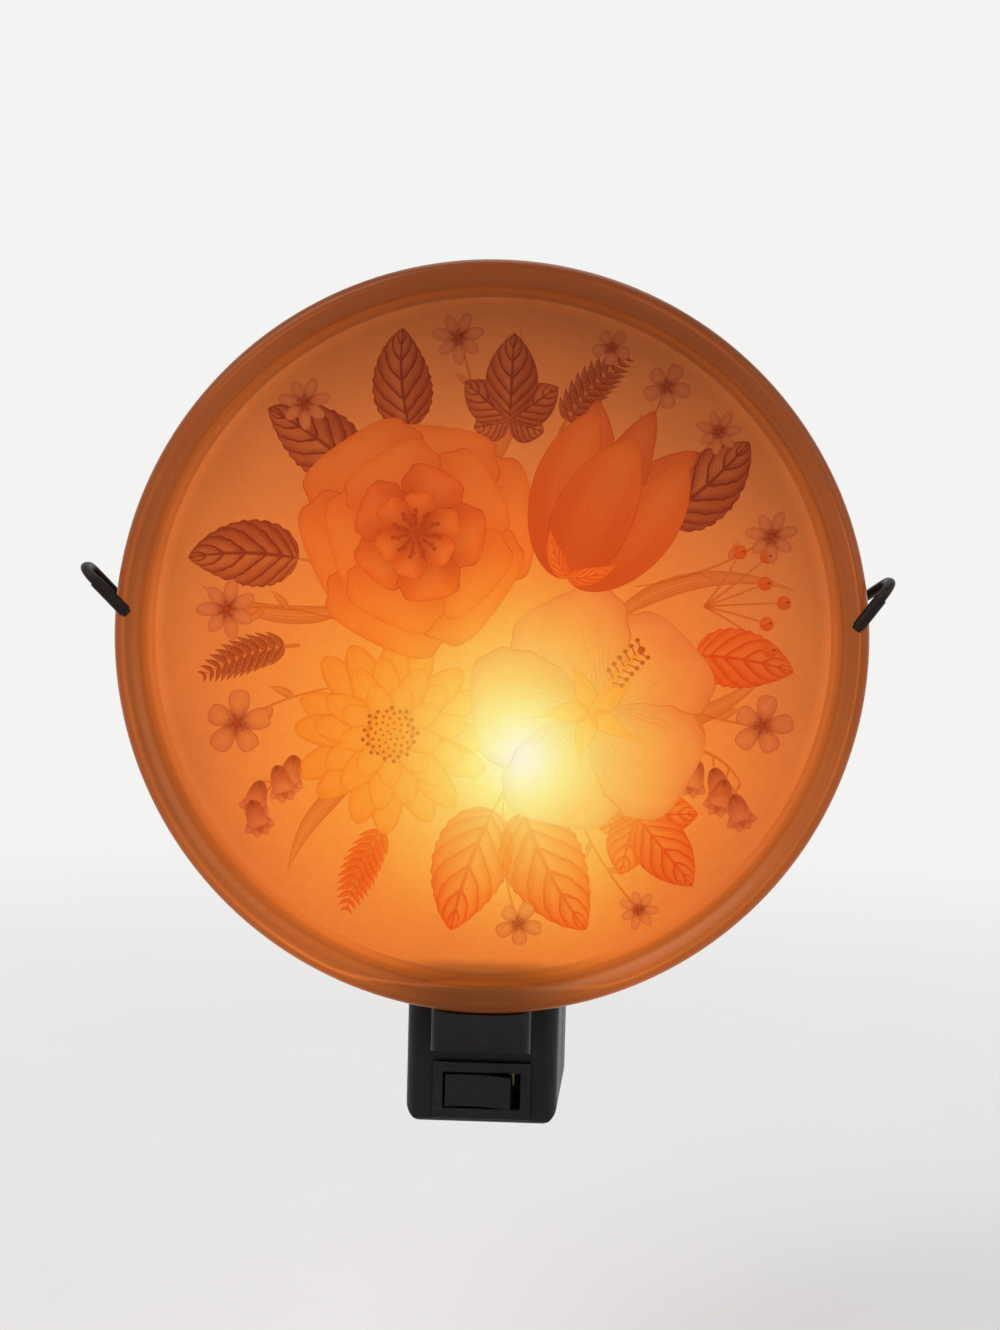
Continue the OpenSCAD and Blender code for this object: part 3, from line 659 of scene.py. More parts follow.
def ink_group() -> bpy.types.NodeTree:
    """Builds the fine engraved drawing of one printed petal, leaf or stem from its own UV map.

    U runs across the shape and V from its foot to its tip. The drawing has an outline, a midrib, side veins,
    hatching, a shaded foot and a light middle, each with its own weight.

    Returns:
        The group, which gives the ink's colour.
    """
    r, (uv, wash, line, lines, hatching, veins, outline, edge, foot, reach, light), out = new_group(
        "engraved_ink",
        {"UV": Kind.VECTOR, "Wash": Kind.COLOUR, "Line": Kind.COLOUR} | dict.fromkeys(WEIGHTS, Kind.NUMBER),
        {"Colour": Kind.COLOUR})
    over, along, _ = r.split(uv)
    across = abs(over * 2.0 - 1.0)
    sway = r.noise(uv, 4.0, 2.0) * 5.0
    fan = r.spread((across * lines + sway).sine(), 0.3, 0.95)
    ragged = r.spread(r.noise(uv, 5.0, 2.0, (12.0, 0.6, 1.0)), 0.3, 0.7, 0.3, 1.15)
    near_foot = r.spread(along / ragged / reach, 0.15, 0.95, 1.0, 0.0)
    near_tip = r.spread(along * ragged, 0.72, 1.1, 0.0, 0.6)
    hatched = fan * near_foot.most(near_tip) * hatching
    slanted = along * 52.0 - (across * 8.0 + across ** 2.0 * 5.0) + sway * 0.5
    ribs = r.spread(slanted.sine(), 0.72, 0.97) * r.spread(across, 0.6, 1.05, 1.0, 0.35)
    strokes = r.spread((slanted * 5.0 + sway).sine(), 0.2, 0.95)
    worn = r.spread(r.noise(uv, 1.0, 2.0, (5.0, 9.0, 1.0)), 0.42, 0.62, 0.0, 0.45)
    midrib = r.spread(across, 0.02, 0.09, 1.0, 0.0)
    veined = ribs.most(strokes * worn).most(midrib) * veins
    pleats = r.spread((slanted - 0.9).sine(), -0.6, 1.0, 0.0, 0.34)
    half = r.spread(over, 0.44, 0.56, 0.0, 0.26)
    rim = across.most(r.spread(along, 0.6, 1.0))
    pressed = r.spread(r.noise(uv, 5.0, 2.0), 0.32, 0.62, 0.35, 1.0)
    edged = r.spread(rim / edge, 1.0, 1.025) * (outline * pressed)
    halo = r.spread(rim, 0.62, 1.0) * (outline * 0.38)
    shaded = r.spread(along / reach, 0.2, 1.0, 1.0, 0.0) * foot
    tone = (shaded.most(halo) + (pleats + half) * veins).clamped()
    pool = r.spread(r.noise(uv, 3.2, 3.0), 0.35, 0.7, 0.0, 0.2)
    paper = r.spread(rim, 0.15, 0.8, 1.0, 0.0) * light * (1.0 - tone)
    dyed = r.mix(paper, r.mix(pool.most(tone), wash, line), (1.0, 1.0, 1.0))
    r.feed(out, r.mix(hatched.most(veined).most(edged), dyed, line))
    return r.tree


@dataclass(frozen=True)
class Effects:
    """The node groups that several finishes share."""

    glow: bpy.types.NodeTree
    moulding: bpy.types.NodeTree
    metal: bpy.types.NodeTree
    ink: bpy.types.NodeTree

    @classmethod
    def build(cls) -> Effects:
        """Builds each group once."""
        return cls(GlowLook().build(), moulding_group(), metal_group(), ink_group())


# ---- Finishes ----


@dataclass(frozen=True)
class Finish:
    """A material round one Principled shader. Each kind of finish says what its sockets take."""

    name: str

    def constants(self) -> dict[str, Feed]:
        """Gives the values that are the same all over the surface."""
        return {}

    def paint(self, r: Recipe, place: Value, effects: Effects) -> dict[str, Feed]:
        """Lays out what changes over the surface, and gives what each of the shader's sockets is fed from."""
        raise NotImplementedError

    def seen(self, r: Recipe, place: Value, shader: Socket) -> Socket:
        """Gives what is seen of the surface, which is the shader alone for most finishes."""
        return shader

    def build(self, effects: Effects) -> Material:
        """Builds the material.

        Args:
            effects: the shared node groups.

        Returns:
            The material.
        """
        made = bpy.data.materials.new(self.name)
        made.use_nodes = True
        made.node_tree.nodes.clear()
        r = Recipe(made.node_tree)
        shader = r.node("ShaderNodeBsdfPrincipled")
        place = Value(r, r.node("ShaderNodeTexCoord").outputs["Object"])
        r.feed_named(shader, self.constants() | self.paint(r, place, effects))
        r.feed(r.node("ShaderNodeOutputMaterial").inputs, self.seen(r, place, shader.outputs[0]))
        return made


def surfaced(r: Recipe, surface: list[Value], grain: float, depth: float) -> dict[str, Feed]:
    """Feeds a shader's sockets from a surface's colour, roughness and height, with some relief."""
    colour, rough, height = surface
    return {"Base Color": colour, "Roughness": rough, "Normal": r.bump(height, grain, depth)}


@dataclass(frozen=True)
class Moulded(Finish):
    """A moulded plastic or ceramic finish."""

    colour: Colour
    gloss: float = 0.42
    grain: float = 0.12
    sheen: float = 0.35

    def constants(self) -> dict[str, Feed]:
        """Gives the sheen."""
        return {"Specular IOR Level": self.sheen}

    def paint(self, r: Recipe, place: Value, effects: Effects) -> dict[str, Feed]:
        """Places the moulded surface."""
        surface = r.group(effects.moulding, Vector=place, Colour=self.colour, Gloss=self.gloss)
        return surfaced(r, surface, self.grain, 0.02 * MM)


@dataclass(frozen=True)
class Metal(Finish):
    """A bare or plated metal finish."""

    colour: Colour
    tarnish: Colour
    gloss: float = 0.3

    def constants(self) -> dict[str, Feed]:
        """Makes it metal."""
        return {"Metallic": 1.0}

    def paint(self, r: Recipe, place: Value, effects: Effects) -> dict[str, Feed]:
        """Places the worked surface.

        Args:
            r: the recipe of the material.
            place: the Object coordinates.
            effects: the shared node groups.

        Returns:
            What each of the shader's sockets is fed from.
        """
        surface = r.group(effects.metal, Vector=place, Colour=self.colour, Tarnish=self.tarnish,
                          Gloss=self.gloss)
        return surfaced(r, surface, 0.1, 0.01 * MM)


def from_axis(r: Recipe, place: Value, middle_z: float) -> tuple[Value, Value]:
    """Measures a place from the dish's axis.

    Args:
        r: the recipe of the material.
        place: the place.
        middle_z: the axis's height.

    Returns:
        The vector from the axis, in metres, and its length in millimetres.
    """
    flat = r.vector("MULTIPLY", place, (1.0, 0.0, 1.0))
    outward = r.vector("SUBTRACT", flat, (0.0, 0.0, middle_z))
    return outward, r.vector("LENGTH", outward) / MM


def foot_shade(r: Recipe, x: Value, z: Value, reach: Point, height: Point) -> Value:
    """Gives 1 in the lamp body's shade at the dish's foot and 0 outside, fading sideways and upwards."""
    return r.spread(abs(x), *reach, 1.0, 0.0) * r.spread(z, *height, 1.0, 0.0)


def lit(r: Recipe, light: Value, share: float) -> dict[str, Feed]:
    """Splits a lit colour between a shader's own glow, whose strength is the share, and its base colour."""
    return {"Emission Color": light, "Base Color": r.dye(light, (1 - share,) * 3)}


@dataclass(frozen=True)
class LitFilm(Finish):
    """The frosted ground of the print, lit from behind, with painted light a little brighter along its border
    and painted shade of the lamp body at its foot.
    """

    middle_z: float
    glow_share: float = 0.8
    border: Point = (52.6, 54.4)
    border_height: Point = (20.0 * MM, 70.0 * MM)
    border_light_gain: float = 0.2
    shade_reach: Point = (5.0 * MM, 17.0 * MM)
    shade_height: Point = (15.3 * MM, 17.4 * MM)
    shade_depth: float = 0.45

    def constants(self) -> dict[str, Feed]:
        """Gives the frosted sheen and the glow's strength."""
        return {"Roughness": 0.55, "Emission Strength": self.glow_share, "Specular IOR Level": 0.1}

    def paint(self, r: Recipe, place: Value, effects: Effects) -> dict[str, Feed]:
        """Lights the frosted ground.

        Args:
            r: the recipe of the material.
            place: the Object coordinates.
            effects: the shared node groups.

        Returns:
            What each of the shader's sockets is fed from.
        """
        glow = r.group(effects.glow, Vector=place)[0]
        frost = r.noise(place, 900.0, 3.0)
        x, _, z = r.split(place)
        # painted shade of the lamp body at the film's foot
        shade = foot_shade(r, x, z, self.shade_reach, self.shade_height) * self.shade_depth
        radius = from_axis(r, place, self.middle_z)[1]
        # painted light: the film's border is brighter, more so towards the top
        border_light = r.spread(radius, *self.border) * r.spread(z, *self.border_height, 0.0, self.border_light_gain)
        light = r.dye(glow, r.grey(border_light + 1.0 - shade))
        tinted = r.mix(r.spread(frost, 0.3, 0.7), r.dye(light, (0.97, 0.95, 0.93)), light)
        return lit(r, tinted, self.glow_share) | {"Normal": r.bump(frost, 0.15, 0.03 * MM)}


class Drawing(Enum):
    """How a printed shape is drawn, as one number for each of the engraving's weights."""

    PETAL = (84.0, 0.75, 0.0, 0.8, 0.965, 0.75, 0.95, 0.3)
    SOFT_PETAL = (64.0, 0.95, 0.0, 0.8, 0.965, 0.4, 0.75, 0.3)
    SMALL_PETAL = (22.0, 1.0, 0.0, 0.5, 0.93, 0.95, 0.6, 0.4)
    LEAF = (60.0, 0.0, 0.85, 0.7, 0.945, 0.25, 0.8, 0.3)
    BLADE = (24.0, 0.7, 0.0, 0.7, 0.9, 0.3, 1.2, 0.5)
    PLAIN = (20.0, 0.3, 0.0, 0.5, 0.85, 0.2, 0.6, 0.0)


@dataclass(frozen=True)
class Ink(Finish):
    """One printing ink on the lit film. Both colours dye the light that comes through."""

    wash: Colour
    line: Colour
    drawing: Drawing
    glow_share: float = 0.8

    def constants(self) -> dict[str, Feed]:
        """Gives the ink's sheen and the glow's strength."""
        return {"Roughness": 0.5, "Emission Strength": self.glow_share, "Specular IOR Level": 0.1}

    def paint(self, r: Recipe, place: Value, effects: Effects) -> dict[str, Feed]:
        """Dyes the lamp's light with the drawing.

        Args:
            r: the recipe of the material.
            place: the Object coordinates.
            effects: the shared node groups.

        Returns:
            What each of the shader's sockets is fed from.
        """
        uv = r.node("ShaderNodeUVMap", uv_map="print").outputs[0]
        weights = dict(zip(WEIGHTS, self.drawing.value))
        ink = r.group(effects.ink, UV=uv, Wash=self.wash, Line=self.line, **weights)[0]
        # painted glare from the bright core pales the ink towards white
        glow, glare, _ = r.group(effects.glow, Vector=place)
        return lit(r, r.dye(glow, r.mix(glare, ink, (1.0, 1.0, 1.0))), self.glow_share)


@dataclass(frozen=True)
class LitGlass(Finish):
    """Pressed glass that carries the lamp's light out to its rim, with the body's shade at its bottom.

    Radii and the crest's dip are in millimetres, and heights and depths in metres.
    """

    middle_z: float
    lip_y: float
    floor_y: float
    tint: Colour = (0.97, 0.92, 0.84)
    unlit: Colour = (0.26, 0.26, 0.30)
    crest: float = 58.4
    crest_dip: float = 2.9
    crest_highlight: Point = (0.08, 0.42)
    light_streak_radii: Point = (50.0, 55.0)
    wall: Point = (56.0, 55.7)
    wall_depths: Point = (3.4 * MM, -0.6 * MM)
    wall_height: Point = (68.0 * MM, 118.0 * MM)
    wall_light: Point = (0.85, 0.3)
    side: Point = (56.4, 57.0)
    side_depth: Point = (2.8 * MM, 4.2 * MM)
    back_depth: Point = (0.3 * MM, 1.2 * MM)
    shade_reach: Point = (3.0 * MM, 27.0 * MM)
    shade_height: Point = (12.0 * MM, 22.0 * MM)
    shade_depth: float = 0.34
    glow_share: float = 0.72
    clear: float = 0.12
    gloss: float = 0.2
    outside_gloss: float = 0.9

    def constants(self) -> dict[str, Feed]:
        """Makes it glass that is nearly opaque with light."""
        return {"Transmission Weight": self.clear, "IOR": 1.5, "Emission Strength": self.glow_share,
                "Specular IOR Level": 0.2, "Specular Tint": (1.0, 0.72, 0.5), "Coat Roughness": 0.07}

    def paint(self, r: Recipe, place: Value, effects: Effects) -> dict[str, Feed]:
        """Lights the glass, with faint painted streaks of light, a painted highlight line along its crest,
        painted shade of the body at its foot and a glossy outside.

        Args:
            r: the recipe of the material.
            place: the Object coordinates.
            effects: the shared node groups.

        Returns:
            What each of the shader's sockets is fed from.
        """
        glow, _, rim_glow = r.group(effects.glow, Vector=place)
        x, y, z = r.split(place)
        swirl = r.noise(place, 70.0, 2.0, (1.0, 3.0, 1.0))
        outward, radius = from_axis(r, place, self.middle_z)
        turn = r.vector("MULTIPLY", r.vector("NORMALIZE", outward), (0.6, 0.6, 0.6))
        by_radius = r.node("ShaderNodeCombineXYZ")
        r.feed_named(by_radius, {"Y": radius * 0.85})
        flow = r.noise(r.vector("ADD", turn, by_radius.outputs[0]), 1.0, 3.0)
        # streaks: faint painted streaks of light, stronger towards the rim
        streaks = r.spread(flow, 0.3, 0.62, -0.1, 0.08) * r.spread(radius, *self.light_streak_radii, 0.15, 1.0) + 1.0
        shade = foot_shade(r, x, z, self.shade_reach, self.shade_height)
        # a painted highlight line along the lip's crest, dipping inward at the bottom and fading in the
        # body's painted shade; pressed sets its strength along its length
        off_crest = abs(radius - (flow + (self.crest - 0.5) - shade * self.crest_dip))
        pressed = r.spread(r.noise(turn, 2.4, 1.0), 0.35, 0.65, 0.08, 0.5)
        line = r.spread(off_crest, *self.crest_highlight, 1.0, 0.0) * pressed
        strength = streaks * (1.0 - shade * (1 - self.shade_depth)) + line * (1.0 - shade * 0.6)
        lip_depth, floor_depth = self.wall_depths
        deep = r.spread(y, self.lip_y + lip_depth, self.floor_y + floor_depth)
        # painted light: the inner wall takes more of the field's glow low down than at the top
        inner = deep * r.spread(z, *self.wall_height, *self.wall_light) * r.spread(radius, *self.wall)
        tinted = r.dye(r.dye(r.mix(inner, rim_glow, glow), self.tint), r.grey(strength))
        near, far = (self.lip_y + depth for depth in self.side_depth)
        side = r.spread(radius, *self.side) * r.spread(y, near, far)
        near, far = (self.floor_y + depth for depth in self.back_depth)
        glossy = side.most(r.spread(y, near, far)) * self.outside_gloss
        return {"Emission Color": tinted, "Base Color": r.dye(tinted, self.unlit),
                "Roughness": r.spread(swirl, 0.3, 0.7, self.gloss, self.gloss + 0.1),
                "Normal": r.bump(swirl, 0.2, 0.2 * MM), "Coat Weight": glossy}


@dataclass(frozen=True)
class LampGlass(Finish):
    """The bulb's frosted glass, brightest round the filament."""

    height: float
    strength: float = 1.0
    reach: float = 24.0 * MM
    stops: Stops = ((0, 252, 240, 196), (0.3, 250, 216, 140), (0.6, 238, 168, 88), (1, 186, 112, 56))

    def constants(self) -> dict[str, Feed]:
        """Gives the gloss and the glow's strength."""
        return {"Roughness": 0.3, "Emission Strength": self.strength, "Coat Weight": 0.4}

    def paint(self, r: Recipe, place: Value, effects: Effects) -> dict[str, Feed]:
        """Lights the glass.

        Args:
            r: the recipe of the material.
            place: the Object coordinates.
            effects: the shared node groups; not used.

        Returns:
            What each of the shader's sockets is fed from.
        """
        haze = r.noise(place, 300.0, 2.0)
        share = abs(r.split(place)[2] - self.height) / self.reach + haze * 0.08
        glow = r.ramp(share, [(away, (*srgb(*shown), 1.0)) for away, *shown in self.stops])[0]
        return {"Emission Color": glow, "Base Color": r.mix(haze, srgb(120, 96, 70), srgb(140, 116, 88))}


# ---- The print ----


class Axis(NamedTuple):
    """The line that a printed shape follows: an arc from its foot, in millimetres and degrees, with 90 up."""

    foot: Point
    heading: float
    length: float
    bend: float = 0.0

    def at(self, share: float) -> tuple[Point, float]:
        """Finds a place on the axis.

        Args:
            share: its share of the length.

        Returns:
            The point and the heading there.
        """
        half = math.radians(self.bend) * share / 2
        chord = self.length * share * (math.sin(half) / half if abs(half) > TINY else 1.0)
        turn = self.bend * share
        return beyond(self.foot, self.heading + turn / 2, chord), self.heading + turn


class Bloom(NamedTuple):
    """A flower or leaf: its middle or foot, its size, and the heading that it starts from in degrees."""

    centre: Point
    size: float
    heading: float = 0.0


class Outline(Enum):
    """The outlines of printed shapes, as the powers of the rise from the foot and of the fall to the tip."""

    BROAD = (0.75, 0.32)
    OVAL = (0.6, 0.5)
    CUP = (0.5, 0.72)
    POINTED = (0.75, 0.9)
    LEAF = (0.5, 0.8)
    LANCE = (0.55, 1.2)
    BELL = (0.4, 0.12)
    ROUND = (0.5, 0.5)
    STALK = (0.05, 0.3)

    def half_width(self, share: float) -> float:
        """Gives the half width somewhere on the shape.

        Args:
            share: the place's share of the length.

        Returns:
            The half width as a share of the largest.
        """
        rise, fall = self.value
        inside = min(max(share, TINY), 1 - TINY)
        top = rise / (rise + fall)
        return (inside / top) ** rise * ((1 - inside) / (1 - top)) ** fall


@dataclass
class Plate:
    """One ink's shapes, gathered into a mesh that becomes one piece."""

    name: str
    ink: Ink
    origin: Vector
    face_y: float
    mesh: BMesh = field(default_factory=bmesh.new)
    pitch: float = 0.02 * MM
    thickness: float = 0.014 * MM
    weld: float = 0.004 * MM

    def __post_init__(self) -> None:
        """Gives the mesh the UV map that the ink draws by."""
        self.mesh.loops.layers.uv.new("print")

    def shape(self, axis: Axis, half_width: float, outline: Outline, layer: int, waves: Point = (0.0, 0.0),
              steps: int = 14, columns: int = 4) -> Point:
        """Adds one petal, leaf or stalk.

        Args:
            axis: the line that it follows.
            half_width: its largest half width in millimetres.
            outline: its outline.
            layer: how far it lies above the film, in pitches.
            waves: number and depth of the waves in its edge.
            steps: rows of its mesh.
            columns: columns of its mesh.

        Returns:
            Its tip.
        """
        grid = bmesh.ops.create_grid(self.mesh, x_segments=columns, y_segments=steps, size=1.0, calc_uvs=True)
        count, depth = waves
        for vert in grid["verts"]:
            share = (1 - math.cos(math.pi * (vert.co.y + 1) / 2)) / 2
            point, heading = axis.at(share)
            wave = 1 + depth * math.sin(2 * math.pi * count * share)
            x, z = beyond(point, heading - 90.0, vert.co.x * half_width * outline.half_width(share) * wave)
            vert.co = (self.origin.x + x * MM, self.face_y - layer * self.pitch, self.origin.z + z * MM)
        bmesh.ops.remove_doubles(self.mesh, verts=grid["verts"], dist=self.weld)
        return axis.at(1.0)[0]

    def stalk(self, axis: Axis, half_width: float, layer: int, steps: int = 4) -> Point:
        """Adds a thin stalk and gives its tip."""
        return self.shape(axis, half_width, Outline.STALK, layer, steps=steps, columns=2)

    def dot(self, centre: Point, radius: float, layer: int, heading: float = 90.0) -> None:
        """Adds a round spot."""
        axis = Axis(beyond(centre, heading, -radius), heading, 2 * radius)
        self.shape(axis, radius, Outline.ROUND, layer, steps=8)

    def finish(self, body: str, effects: Effects) -> None:
        """Turns the gathered shapes into one thin printed layer.

        Args:
            body: the CAD body that carries it.
            effects: the shared node groups.
        """
        faces = list(self.mesh.faces)
        bmesh.ops.reverse_faces(self.mesh, faces=[face for face in faces if face.normal.y > 0])
        bmesh.ops.solidify(self.mesh, geom=faces, thickness=self.thickness)
        piece(self.mesh, self.name, body, self.ink.build(effects))


@dataclass
class FlowerPrint:
    """The flower spray on the dish's floor. Places are in millimetres from the dish's centre.

    The poppy's rings have a number of petals, their length and width as shares, and a turn. The tulip's
    petals have a turn, a bend, a width and a length. The dahlia's rings have a number of rays, their length
    and their width. The ivy's lobes have a turn, a length and a width.
    """

    origin: Vector
    face_y: float
    body: str = "glass_shade"
    poppy_at: Bloom = Bloom((-12.5, 16.5), 19.0, 14.0)
    poppy_rings: tuple[tuple[int, float, float, int], ...] = (
        (6, 1.0, 0.56, 0), (5, 0.8, 0.54, 25), (5, 0.58, 0.46, 60), (6, 0.38, 0.36, 8))
    tulip_at: Bloom = Bloom((12.0, 10.0), 29.0, 64.0)
    tulip_petals: tuple[tuple[int, int, float, float], ...] = (
        (12, 12, 0.17, 1.0), (-12, -12, 0.17, 1.0), (0, 0, 0.16, 1.04), (42, -50, 0.19, 0.97),
        (-42, 50, 0.19, 0.95), (8, -14, 0.22, 0.86))
    hibiscus_at: Bloom = Bloom((16.5, -11.5), 19.5, 30.0)
    dahlia_at: Bloom = Bloom((-16.0, -16.0), 16.5)
    dahlia_rings: tuple[tuple[int, float, float], ...] = ((16, 1.0, 0.17), (13, 0.76, 0.15), (9, 0.53, 0.13))
    grass: tuple[Axis, ...] = (
        Axis((20.0, 4.0), 40.0, 31.0, -62.0), Axis((24.0, -14.0), 4.0, 26.0, 48.0),
        Axis((-24.0, 4.0), 196.0, 25.0, -50.0), Axis((-2.0, 26.0), 60.0, 25.0, 34.0),
        Axis((-22.0, -24.0), 214.0, 19.0, 44.0))
    bright_leaves: tuple[Axis, ...] = (
        Axis((1.0, -28.0), 244.0, 21.0, 16.0), Axis((6.0, -28.0), 288.0, 22.0, 22.0),
        Axis((33.0, -2.0), 2.0, 16.0, -20.0))
    dark_leaves: tuple[Axis, ...] = (
        Axis((-22.0, 26.0), 138.0, 18.0, 16.0), Axis((-14.0, 33.5), 106.0, 16.0, -22.0),
        Axis((-31.5, 12.0), 170.0, 18.0, 22.0), Axis((27.0, 20.0), 34.0, 18.5, 18.0))
    dark_ferns: tuple[Axis, ...] = (
        Axis((10.0, 33.0), 66.0, 17.0, -34.0), Axis((-31.0, -2.0), 184.0, 17.0, 30.0))
    bright_fern: Axis = Axis((-15.5, -30.0), 232.0, 17.0, 26.0)
    ivy_lobes: tuple[tuple[int, float, float], ...] = (
        (105, 0.42, 0.2), (-105, 0.42, 0.2), (52, 0.68, 0.24), (-52, 0.68, 0.24), (0, 1.0, 0.3))
    dark_ivy: Bloom = Bloom((2.0, 35.0), 14.0, 88.0)
    bright_ivy: Bloom = Bloom((24.0, -28.0), 15.0, -50.0)
    bell_sprigs: tuple[Axis, ...] = (
        Axis((30.0, -17.0), 8.0, 13.0, -70.0), Axis((-27.0, -21.0), 178.0, 12.0, 70.0))
    small_flowers: tuple[Bloom, ...] = (
        Bloom((-43.0, 3.5), 4.2), Bloom((-41.0, -15.0), 4.6), Bloom((-31.0, 37.0), 3.6),
        Bloom((27.0, 41.0), 3.2), Bloom((35.5, 34.0), 3.1), Bloom((18.0, 47.0), 2.6),
        Bloom((44.5, 17.5), 3.6), Bloom((44.0, -13.0), 4.2), Bloom((-6.5, 48.0), 3.6),
        Bloom((5.5, -46.5), 3.2), Bloom((25.0, -43.6), 2.8))
    berries_at: Point = (34.0, 6.0)
    anther: float = 0.36

    def __post_init__(self) -> None:
        """Starts one plate for each ink."""
        self.plates: list[Plate] = []
        self.stalks = self.plate("stalks", (0.86, 0.64, 0.42), (0.60, 0.32, 0.16), Drawing.PLAIN)
        self.blades = self.plate("grass_blades", (0.92, 0.74, 0.58), (0.62, 0.34, 0.20), Drawing.BLADE)
        self.dusk = self.plate("dusk_leaves", (0.70, 0.46, 0.44), (0.32, 0.11, 0.07), Drawing.LEAF)
        self.amber = self.plate("amber_leaves", (1.0, 0.60, 0.30), (0.82, 0.24, 0.07), Drawing.LEAF)
        self.poppy = self.plate("poppy_petals", (1.0, 0.74, 0.44), (0.74, 0.26, 0.10), Drawing.PETAL)
        self.folds = self.plate("inner_petals", (0.96, 0.54, 0.32), (0.44, 0.13, 0.07), Drawing.PETAL)
        self.cup = self.plate("tulip_petals", (1.0, 0.62, 0.32), (0.64, 0.20, 0.09), Drawing.PETAL)
        self.cream = self.plate("hibiscus_petals", (0.97, 0.92, 1.12), (0.74, 0.36, 0.20), Drawing.SOFT_PETAL)
        self.rays = self.plate("dahlia_rays", (1.0, 0.84, 0.44), (0.74, 0.32, 0.12), Drawing.SOFT_PETAL)
        self.lilac = self.plate("lilac_bells", (0.86, 0.66, 0.95), (0.50, 0.20, 0.22), Drawing.PETAL)
        self.small = self.plate("small_blossoms", (0.86, 0.72, 0.88), (0.38, 0.15, 0.13), Drawing.SMALL_PETAL)
        self.pollen = self.plate("pollen", (1.0, 0.76, 0.30), (0.74, 0.28, 0.08), Drawing.PLAIN)
        self.hearts = self.plate("hearts", (0.58, 0.24, 0.13), (0.30, 0.09, 0.05), Drawing.PLAIN)

    def plate(self, name: str, wash: Colour, line: Colour, drawing: Drawing) -> Plate:
        """Starts one ink's plate.

        Args:
            name: the ink's name.
            wash: its pale colour.
            line: its line's colour.
            drawing: how its shapes are drawn.

        Returns:
            The plate.
        """
        made = Plate(f"print_{name}", Ink(f"ink_{name}", wash, line, drawing), self.origin, self.face_y)
        self.plates.append(made)
        return made

    def build(self, effects: Effects) -> None:
        """Draws the whole spray.

        Args:
            effects: the shared node groups.
        """
        for draw in (self.draw_leaves, self.draw_poppy, self.draw_tulip, self.draw_hibiscus, self.draw_dahlia,
                     self.draw_bells, self.draw_small_flowers, self.draw_berries):
            draw()
        for made in self.plates:
            made.finish(self.body, effects)

    def ivy(self, plate: Plate, leaf: Bloom) -> None:
        """Draws one lobed ivy leaf, with each lobe on the one before.

        Args:
            plate: the ink.
            leaf: the leaf's foot, size and heading.
        """
        for layer, (turn, share, width) in enumerate(self.ivy_lobes, 3):
            axis = Axis(leaf.centre, leaf.heading + turn, leaf.size * share)
            plate.shape(axis, leaf.size * width, Outline.POINTED, layer, steps=12)

    def fern(self, plate: Plate, axis: Axis, pairs: int = 11) -> None:
        """Draws one fern frond.

        Args:
            plate: the leaflets' ink.
            axis: the frond's stalk.
            pairs: pairs of leaflets.
        """
        self.stalks.stalk(axis, 0.3, 2, 18)
        for i in range(pairs):
            share = 0.16 + 0.8 * i / (pairs - 1)
            at, heading = axis.at(share)
            leaf = axis.length * (0.24 * math.sin(math.pi * (0.22 + 0.72 * share)) + 0.02)
            for side in (-1, 1):
                leaflet = Axis(at, heading + side * 58, leaf, -side * 22)
                plate.shape(leaflet, leaf * 0.17, Outline.LANCE, 3, steps=8)

    def laurel(self, plate: Plate, axis: Axis) -> None:
        """Draws one broad toothed leaf on its stalk."""
        self.stalks.stalk(Axis(beyond(axis.foot, axis.heading, -6.0), axis.heading, 7.0), 0.3, 1)
        plate.shape(axis, axis.length * 0.3, Outline.LEAF, 3, (10.5, 0.035), 44, 10)

    def draw_leaves(self) -> None:
        """Draws the grass, the ferns, the ivy and the broad leaves round the blossoms."""
        for axis in self.grass:
            self.blades.shape(axis, 1.5, Outline.LANCE, 1, steps=30, columns=6)
        for plate, leaves in ((self.amber, self.bright_leaves), (self.dusk, self.dark_leaves)):
            for axis in leaves:
                self.laurel(plate, axis)
        for axis in self.dark_ferns:
            self.fern(self.dusk, axis)
        self.fern(self.amber, self.bright_fern)
        self.ivy(self.dusk, self.dark_ivy)
        self.ivy(self.amber, self.bright_ivy)

    def draw_poppy(self) -> None:
        """Draws the large double poppy, one ring of petals on the other, with a ring of stamens."""
        centre, radius, start = self.poppy_at
        layer = 7
        for count, share, width, offset in self.poppy_rings:
            plate = self.poppy if share > 0.6 else self.folds
            for i in range(count):
                turn = start + offset + 360.0 / count * ((2 * i) % count if count % 2 else i)
                axis = Axis(centre, turn, radius * share * (0.93 if i % 2 else 1.0), 12 if i % 2 else -9)
                plate.shape(axis, radius * width * share, Outline.BROAD, layer, (3.5, 0.045), 26, 12)
                layer += 1
        inner, outer, count = radius * 0.07, radius * 0.2, 22
        for i in range(count):
            heading = 360.0 * i / count + (7.0 if i % 2 else -4.0)
            length = outer - inner if i % 2 else (outer - inner) * 0.7
            tip = self.hearts.stalk(Axis(beyond(centre, heading, inner), heading, length, 12), 0.12, layer, 5)
            self.hearts.dot(tip, self.anther, layer + 1)

    def draw_tulip(self) -> None:
        """Draws the tulip seen from its side."""
        foot, height, heading = self.tulip_at
        for i, (turn, bend, width, length) in enumerate(self.tulip_petals):
            plate = self.folds if i < 3 else self.cup
            axis = Axis(foot, heading + turn, height * length, bend)
            plate.shape(axis, height * width, Outline.CUP, 7 + i, steps=24, columns=10)
        for turn in (66, -66):
            axis = Axis(foot, heading + turn, height * 0.3, -turn * 0.6)
            self.amber.shape(axis, height * 0.05, Outline.LANCE, 14)

